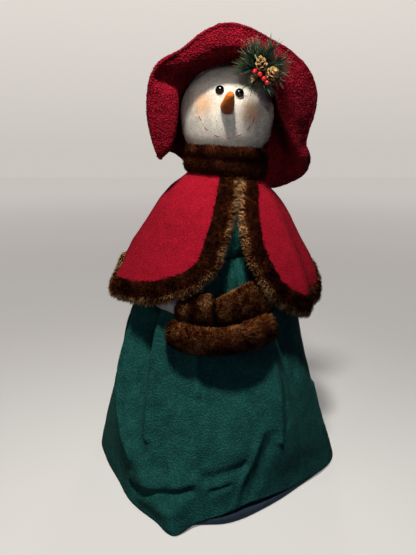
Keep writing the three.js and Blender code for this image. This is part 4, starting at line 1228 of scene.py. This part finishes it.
overlock = {"count": 250, "from": 0.955, "to": 0.995, "thick": 0.7, "high": 4.4, "low": 3.0}
rowsNow, columnsNow = brimGrid.shape[:2]
shares = np.linspace(overlock["from"], overlock["to"], 5) * (columnsNow - 1)
atShares = lambda row: np.stack([np.interp(shares, np.arange(columnsNow), row[:, c]) for c in range(3)], -1)
height = overlock["high"] - (overlock["high"] - overlock["low"]) * np.abs(np.linspace(-1, 1, 5))[:, None] ** 3
away = -gridNormals(brimGrid, True)
parts = []
for k in range(overlock["count"]):
    place = int(k / overlock["count"] * rowsNow) % rowsNow
    lifted = atShares(away[place])
    run = atShares(brimGrid[place]) + lifted * height
    flank = unit(np.cross(unit(np.gradient(run, axis=0)), lifted))
    parts.append((*capped(run[:, None] + ringsAround(flank, lifted, 5) * overlock["thick"]), 0.55))
points, faces, tint = joined(parts)
makePiece("hat_overlock", points, faces, redThread, (), tint)


# Sprig: pine needles on short twigs, miniature cones and berries

sprayMiddle = np.array([59, -98, 622.0])
sprayFoot = np.array([68, -88, 641.0])  # where its stems go into the brim
sprayTwigs = [  # direction in the plane of the brim in degrees, lean forward, twig length, needles
    (112, 0.25, 22, 90), (66, 0.3, 22, 90), (18, 0.35, 21, 75), (138, 0.3, 20, 60), (176, 0.3, 20, 85),
    (-78, 0.3, 20, 90), (-122, 0.35, 18, 50), (-28, 0.4, 20, 75), (90, 0.65, 16, 45), (-5, 0.5, 21, 50),
]
needleShape = {
    "lengths": (15, 25), "radius": 0.6, "sides": 4, "spread": 0.62, "reach": 45,
    "stems": 7, "fillers": 150, "fillerLengths": (11, 21),  # fillers are the short needles at the brim
}


def tintedMaterial(name, roughness, coat, size, *stops):
    material, tree, shader, place = startMaterial(name, roughness)
    grain = noiseNode(tree, place, size, 3.0)
    fine = rampNode(tree, grain, (0.3, (170, 170, 170)), (0.7, white))
    color = multiplied(tree, rampNode(tree, tintNode(tree), *stops), fine)
    finishMaterial(tree, shader, color, grain, 0.3, 0.3)
    shader.inputs["Coat Weight"].default_value = coat
    shader.inputs["Coat Roughness"].default_value = 0.25
    return material


# the palest stop colours the needles' painted tip highlights
pineNeedles = tintedMaterial(
    "pineNeedles", 0.55, 0.12, 3,
    (0.0, (5, 14, 11)), (0.5, (18, 44, 29)), (0.8, (46, 78, 46)), (1.0, (132, 150, 108)),
)
coneScales = tintedMaterial(
    "coneScales", 0.45, 0.4, 2, (0.0, (24, 13, 6)), (0.5, (96, 62, 28)), (1.0, (206, 160, 92)),
)
redBerry = glossMaterial("redBerry", (176, 8, 18), (216, 18, 26), 0.3, 0.5, 3)

generator = np.random.default_rng(71)


def spike(line, radius, sides, tipShare=0.15):  # a thin tapered rod along a line of points
    run = unit(np.gradient(line, axis=0))
    flank = unit(np.cross(run, [0.3, 0.2, 0.93]))
    taper = radius * mix(1.0, tipShare, np.linspace(0, 1, len(line)) ** 2)
    return capped(line[:, None] + ringsAround(flank, np.cross(run, flank), sides) * taper[:, None, None])


parts = []
t = np.linspace(0, 1, 4)[:, None]
for heading, forward, twigLength, needleCount in sprayTwigs:
    along = unit(np.array([math.cos(math.radians(heading)), -forward, math.sin(math.radians(heading))]))
    twig = sprayMiddle + along * np.linspace(-3, twigLength, 5)[:, None]
    parts.append((*spike(twig, 1.0, 6, 0.6), 0.25))
    for k in range(needleCount):
        foot = sprayMiddle + along * mix(1.0, twigLength, (k + generator.random()) / needleCount)
        aside = generator.normal(size=3)
        aside = unit(aside - along * (aside @ along))
        lean = unit(along + aside * needleShape["spread"] * generator.uniform(0.35, 1.15))
        length = generator.uniform(*needleShape["lengths"])
        line = foot + lean * length * t + aside * generator.uniform(-1.0, 2.0) * t**2
        # each needle has its own random tone, with a painted highlight lighter towards its tip
        toneAndTipHighlight = generator.uniform(0.15, 0.6) + np.linspace(0, 0.45, 4)
        points, faces = spike(line, needleShape["radius"], needleShape["sides"])
        tint = np.r_[np.repeat(toneAndTipHighlight, needleShape["sides"]), toneAndTipHighlight[0], toneAndTipHighlight[-1]]
        parts.append((points, faces, np.clip(tint, 0, 1)))
bare = sprayMiddle + np.array([(-10, -16, 14), (-7.5, -19, 9), (-5, -20.5, 4)])
parts.append((*spike(bare, 0.9, 6, 0.8), 1.0))  # a pale bare twig between the cones
for k in range(needleShape["stems"]):
    aside = np.array([math.cos(k * 2.4), 0.3, math.sin(k * 2.4)]) * 2.6
    down = np.linspace(0, 1, 5)[:, None]
    parts.append((*spike(mix(sprayMiddle, sprayFoot, down) + aside * np.sin(down * 2.4), 1.3, 6, 0.8), 0.3))
for k in range(needleShape["fillers"]):
    foot = mix(sprayMiddle, sprayFoot, generator.uniform(-0.15, 0.9))
    heading = generator.uniform(0, 2 * math.pi)
    lean = unit(np.array([math.cos(heading), generator.uniform(-0.1, 0.45), math.sin(heading)]))
    line = foot + lean * generator.uniform(*needleShape["fillerLengths"]) * t
    points, faces = spike(line, needleShape["radius"], needleShape["sides"])
    parts.append((points, faces, np.full(len(points), generator.uniform(0.1, 0.6))))
points, faces, tint = joined(parts)
wayOut = np.linalg.norm((points - sprayMiddle) * [1, 0, 1], axis=1, keepdims=True)
points = sprayMiddle + (points - sprayMiddle) * np.minimum(1, needleShape["reach"] / np.maximum(wayOut, 1e-6))
makePiece("sprig_needles", points, faces, pineNeedles, ["pine_sprig"], tint)

goldenAngle = 137.508  # degrees, between one cone scale and the next
cones = [
    {"at": (56.8, -117, 626.5), "radius": 8.6, "length": 18, "lean": (-0.2, -0.75, 0.6), "scales": 26},
    {"at": (72.6, -115, 614.5), "radius": 9.4, "length": 18, "lean": (0.35, -0.85, 0.2), "scales": 28},
    {"at": (47.4, -111, 608), "radius": 4.4, "length": 12, "lean": (-0.35, -0.4, -0.85), "scales": 18},
]
coneScale = {  # from root to lip, as shares of the cone's radius
    "breadth": (0.1, 0.2, 0.34, 0.36, 0.2), "cup": (0, -0.02, 0.0, 0.1, 0.26),
    # tint: darker towards the root, painted shade in the gaps between scales
    "thickness": (0.3, 0.4, 0.6, 0.9, 1.0), "thick": 0.08, "tint": (0.0, 0.1, 0.35, 0.8, 1.0),
}
for index, cone in enumerate(cones):
    direction = unit(np.array(cone["lean"], float))
    side = unit(np.cross(direction, [0.1, 0.2, 1.0]))
    third = np.cross(direction, side)
    foot = np.array(cone["at"]) - direction * cone["length"] / 2
    core = latheGrid(
        [(0.2 * cone["radius"], 0), (0.42 * cone["radius"], 0.3 * cone["length"]), (0.1, 0.8 * cone["length"])],
        12, direction, foot,
    )
    # the core is tinted darkest, painted shade deep between the scales
    parts = [(*capped(core), 0.0)]
    for k in range(cone["scales"]):
        share = (k + 0.5) / cone["scales"]
        angle = math.radians(k * goldenAngle)
        outward = math.cos(angle) * side + math.sin(angle) * third
        flank = np.cross(direction, outward)
        reach = cone["radius"] * (0.55 + 0.45 * math.sin(math.pi * min(1, share + 0.25))) * 0.92
        lean = unit(outward * (1.15 - share) + direction * (0.1 + 1.0 * share))  # those near the tip stand up
        start = foot + direction * cone["length"] * share * 0.72
        breadth = np.array(coneScale["breadth"]) * cone["radius"]
        cup = np.array(coneScale["cup"]) * cone["radius"]  # each scale curls up at its lip
        thickness = np.array(coneScale["thickness"])[:, None, None] * coneScale["thick"] * cone["radius"]
        rows = []
        for q in range(5):
            middle = start + lean * reach * q / 4 + direction * cup[q]
            rows.append([middle + flank * breadth[q] * t + direction * 0.12 * breadth[q] * t * t for t in (-1, 0, 1)])
        scaleShadeTint = np.tile(np.repeat(coneScale["tint"], 3), 2)
        parts.append((*shell(np.array(rows), -thickness, thickness), scaleShadeTint))
    points, faces, tint = joined(parts)
    makePiece(f"pine_cone_{index + 1}", points, faces, coneScales, [f"cone_{index + 1}"], tint)

berries = {
    "at": [(49.2, -116, 616.6), (55.2, -120.5, 612.4), (60.6, -121, 607.2), (65.5, -112.5, 603.4)],
    "radius": 3.3, "dimple": 0.35, "dimpleWidth": 12,
}
directions, faces = ball(4)
for index, at in enumerate(berries["at"]):
    top = unit(np.array([0.2 * (index - 1), -1.0, 0.1]))
    dimple = berries["dimple"] * bump(degreesFrom(top, directions), 0, berries["dimpleWidth"])
    points = directions * (berries["radius"] - dimple)[:, None] + np.array(at)
    makePiece(f"berry_bead_{index + 1}", points, faces, redBerry, [f"berry_{index + 1}"])
print("sprig made")


# Floor, light and camera

def floorMaterial(look):  # pale, with a glow of its own where the lamp no longer reaches
    material, tree, shader, place = startMaterial("paleFloor", look["roughness"], 0.2)
    away = tree.nodes.new("ShaderNodeVectorMath")
    away.operation = "LENGTH"
    tree.links.new(place, away.inputs[0])
    tree.links.new(rampNode(tree, away.outputs["Value"], *look["glow"]), shader.inputs["Emission Color"])
    shader.inputs["Emission Strength"].default_value = 1.0
    shader.inputs["Base Color"].default_value = linear(*look["color"])
    return material


floorMesh = bpy.data.meshes.new("floor")
floorMesh.from_pydata([(-1.5, -1.5, 0), (1.5, -1.5, 0), (1.5, 1.5, 0), (-1.5, 1.5, 0)], [], [(0, 1, 2, 3)])
floorMesh.materials.append(floorMaterial({
    "roughness": 0.6, "color": (224, 224, 224),
    "glow": [
        (0.0, (104, 101, 98)), (0.08, (129, 126, 123)), (0.15, (131, 127, 125)), (0.2, (137, 133, 131)),
        (0.28, (152, 148, 145)), (0.45, (173, 168, 164)), (0.8, (194, 188, 184)), (1.0, (199, 193, 188)),
    ],
}))
floor = bpy.data.objects.new("floor", floorMesh)
floor.location = (-0.07, -0.54, -0.0005)  # under the lamp
floor.scale = (6, 6, 1)
bpy.context.scene.collection.objects.link(floor)
floor.visible_diffuse = False  # a small lamp in a dim room: the floor throws hardly any light back up
floor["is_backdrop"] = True


lights = {  # kind, place, what it is aimed at, watts, colour and the rest of its settings
    "keyLight": (
        "POINT", (-0.07, -0.54, 1.29), (0, 0, 0.4), 48, (255, 250, 240), {"shadow_soft_size": 0.07},
    ),
    "faceLight": (
        "SPOT", (-0.06, -1.38, 0.84), (0.017, -0.07, 0.524), 62, (255, 247, 230),
        {"spot_size": math.radians(6.0), "spot_blend": 0.85, "shadow_soft_size": 0.12},
    ),
    "sideLight": ("AREA", (-1.6, -1.3, 1.1), (0, 0, 0.35), 4.0, (255, 250, 244), {"size": 0.9}),
    "fillLight": ("AREA", (0.5, -2.2, 0.9), (0, 0, 0.35), 3.2, (178, 200, 255), {"size": 1.4}),
    "backLight": (
        "SPOT", (0.3, 2.2, 0.75), (0, 0, 0.4), 56, (255, 250, 246),
        {"spot_size": math.radians(22), "spot_blend": 0.4, "shadow_soft_size": 0.35},
    ),
}
for name, (kind, at, target, strength, color, settings) in lights.items():
    lamp = bpy.data.lights.new(name, kind)
    lamp.energy = strength
    lamp.color = linear(*color)[:3]
    for setting, value in settings.items():
        setattr(lamp, setting, value)
    lampObject = bpy.data.objects.new(name, lamp)
    lampObject.location = at
    lampObject.rotation_euler = Vector([t - a for a, t in zip(at, target)]).to_track_quat("-Z", "Y").to_euler()
    bpy.context.scene.collection.objects.link(lampObject)

world = bpy.data.worlds.new("softRoom")  # seen behind the doll, and it lights nothing
world.use_nodes = True
room = world.node_tree
direction = room.nodes.new("ShaderNodeTexCoord")
axes = room.nodes.new("ShaderNodeSeparateXYZ")
room.links.new(direction.outputs["Generated"], axes.inputs["Vector"])
sky = next(n for n in room.nodes if n.type == "BACKGROUND")
room.links.new(rampNode(room, axes.outputs["Z"], (0.0, (203, 197, 192)), (0.3, (228, 221, 214))), sky.inputs["Color"])
world.cycles_visibility.diffuse = False
world.cycles_visibility.glossy = False
bpy.context.scene.world = world
bpy.context.scene.view_settings.view_transform = "Standard"

view = {"at": (-0.010, -0.770, 0.522), "pitch": 15, "focal": 480, "longSide": 555, "sensor": 36}
camera = bpy.data.cameras.new("photoView")
camera.sensor_width = view["sensor"]
camera.lens = view["focal"] / view["longSide"] * view["sensor"]
camera.clip_start = 0.01
cameraObject = bpy.data.objects.new("photoView", camera)
cameraObject.location = view["at"]
cameraObject.rotation_euler = (math.radians(90 - view["pitch"]), 0, 0)
bpy.context.scene.collection.objects.link(cameraObject)
bpy.context.scene.camera = cameraObject
print("stage made")

boxes = {"solids": [list(corner) for corner in boxOfSolids], "visual": [list(corner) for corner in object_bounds()]}
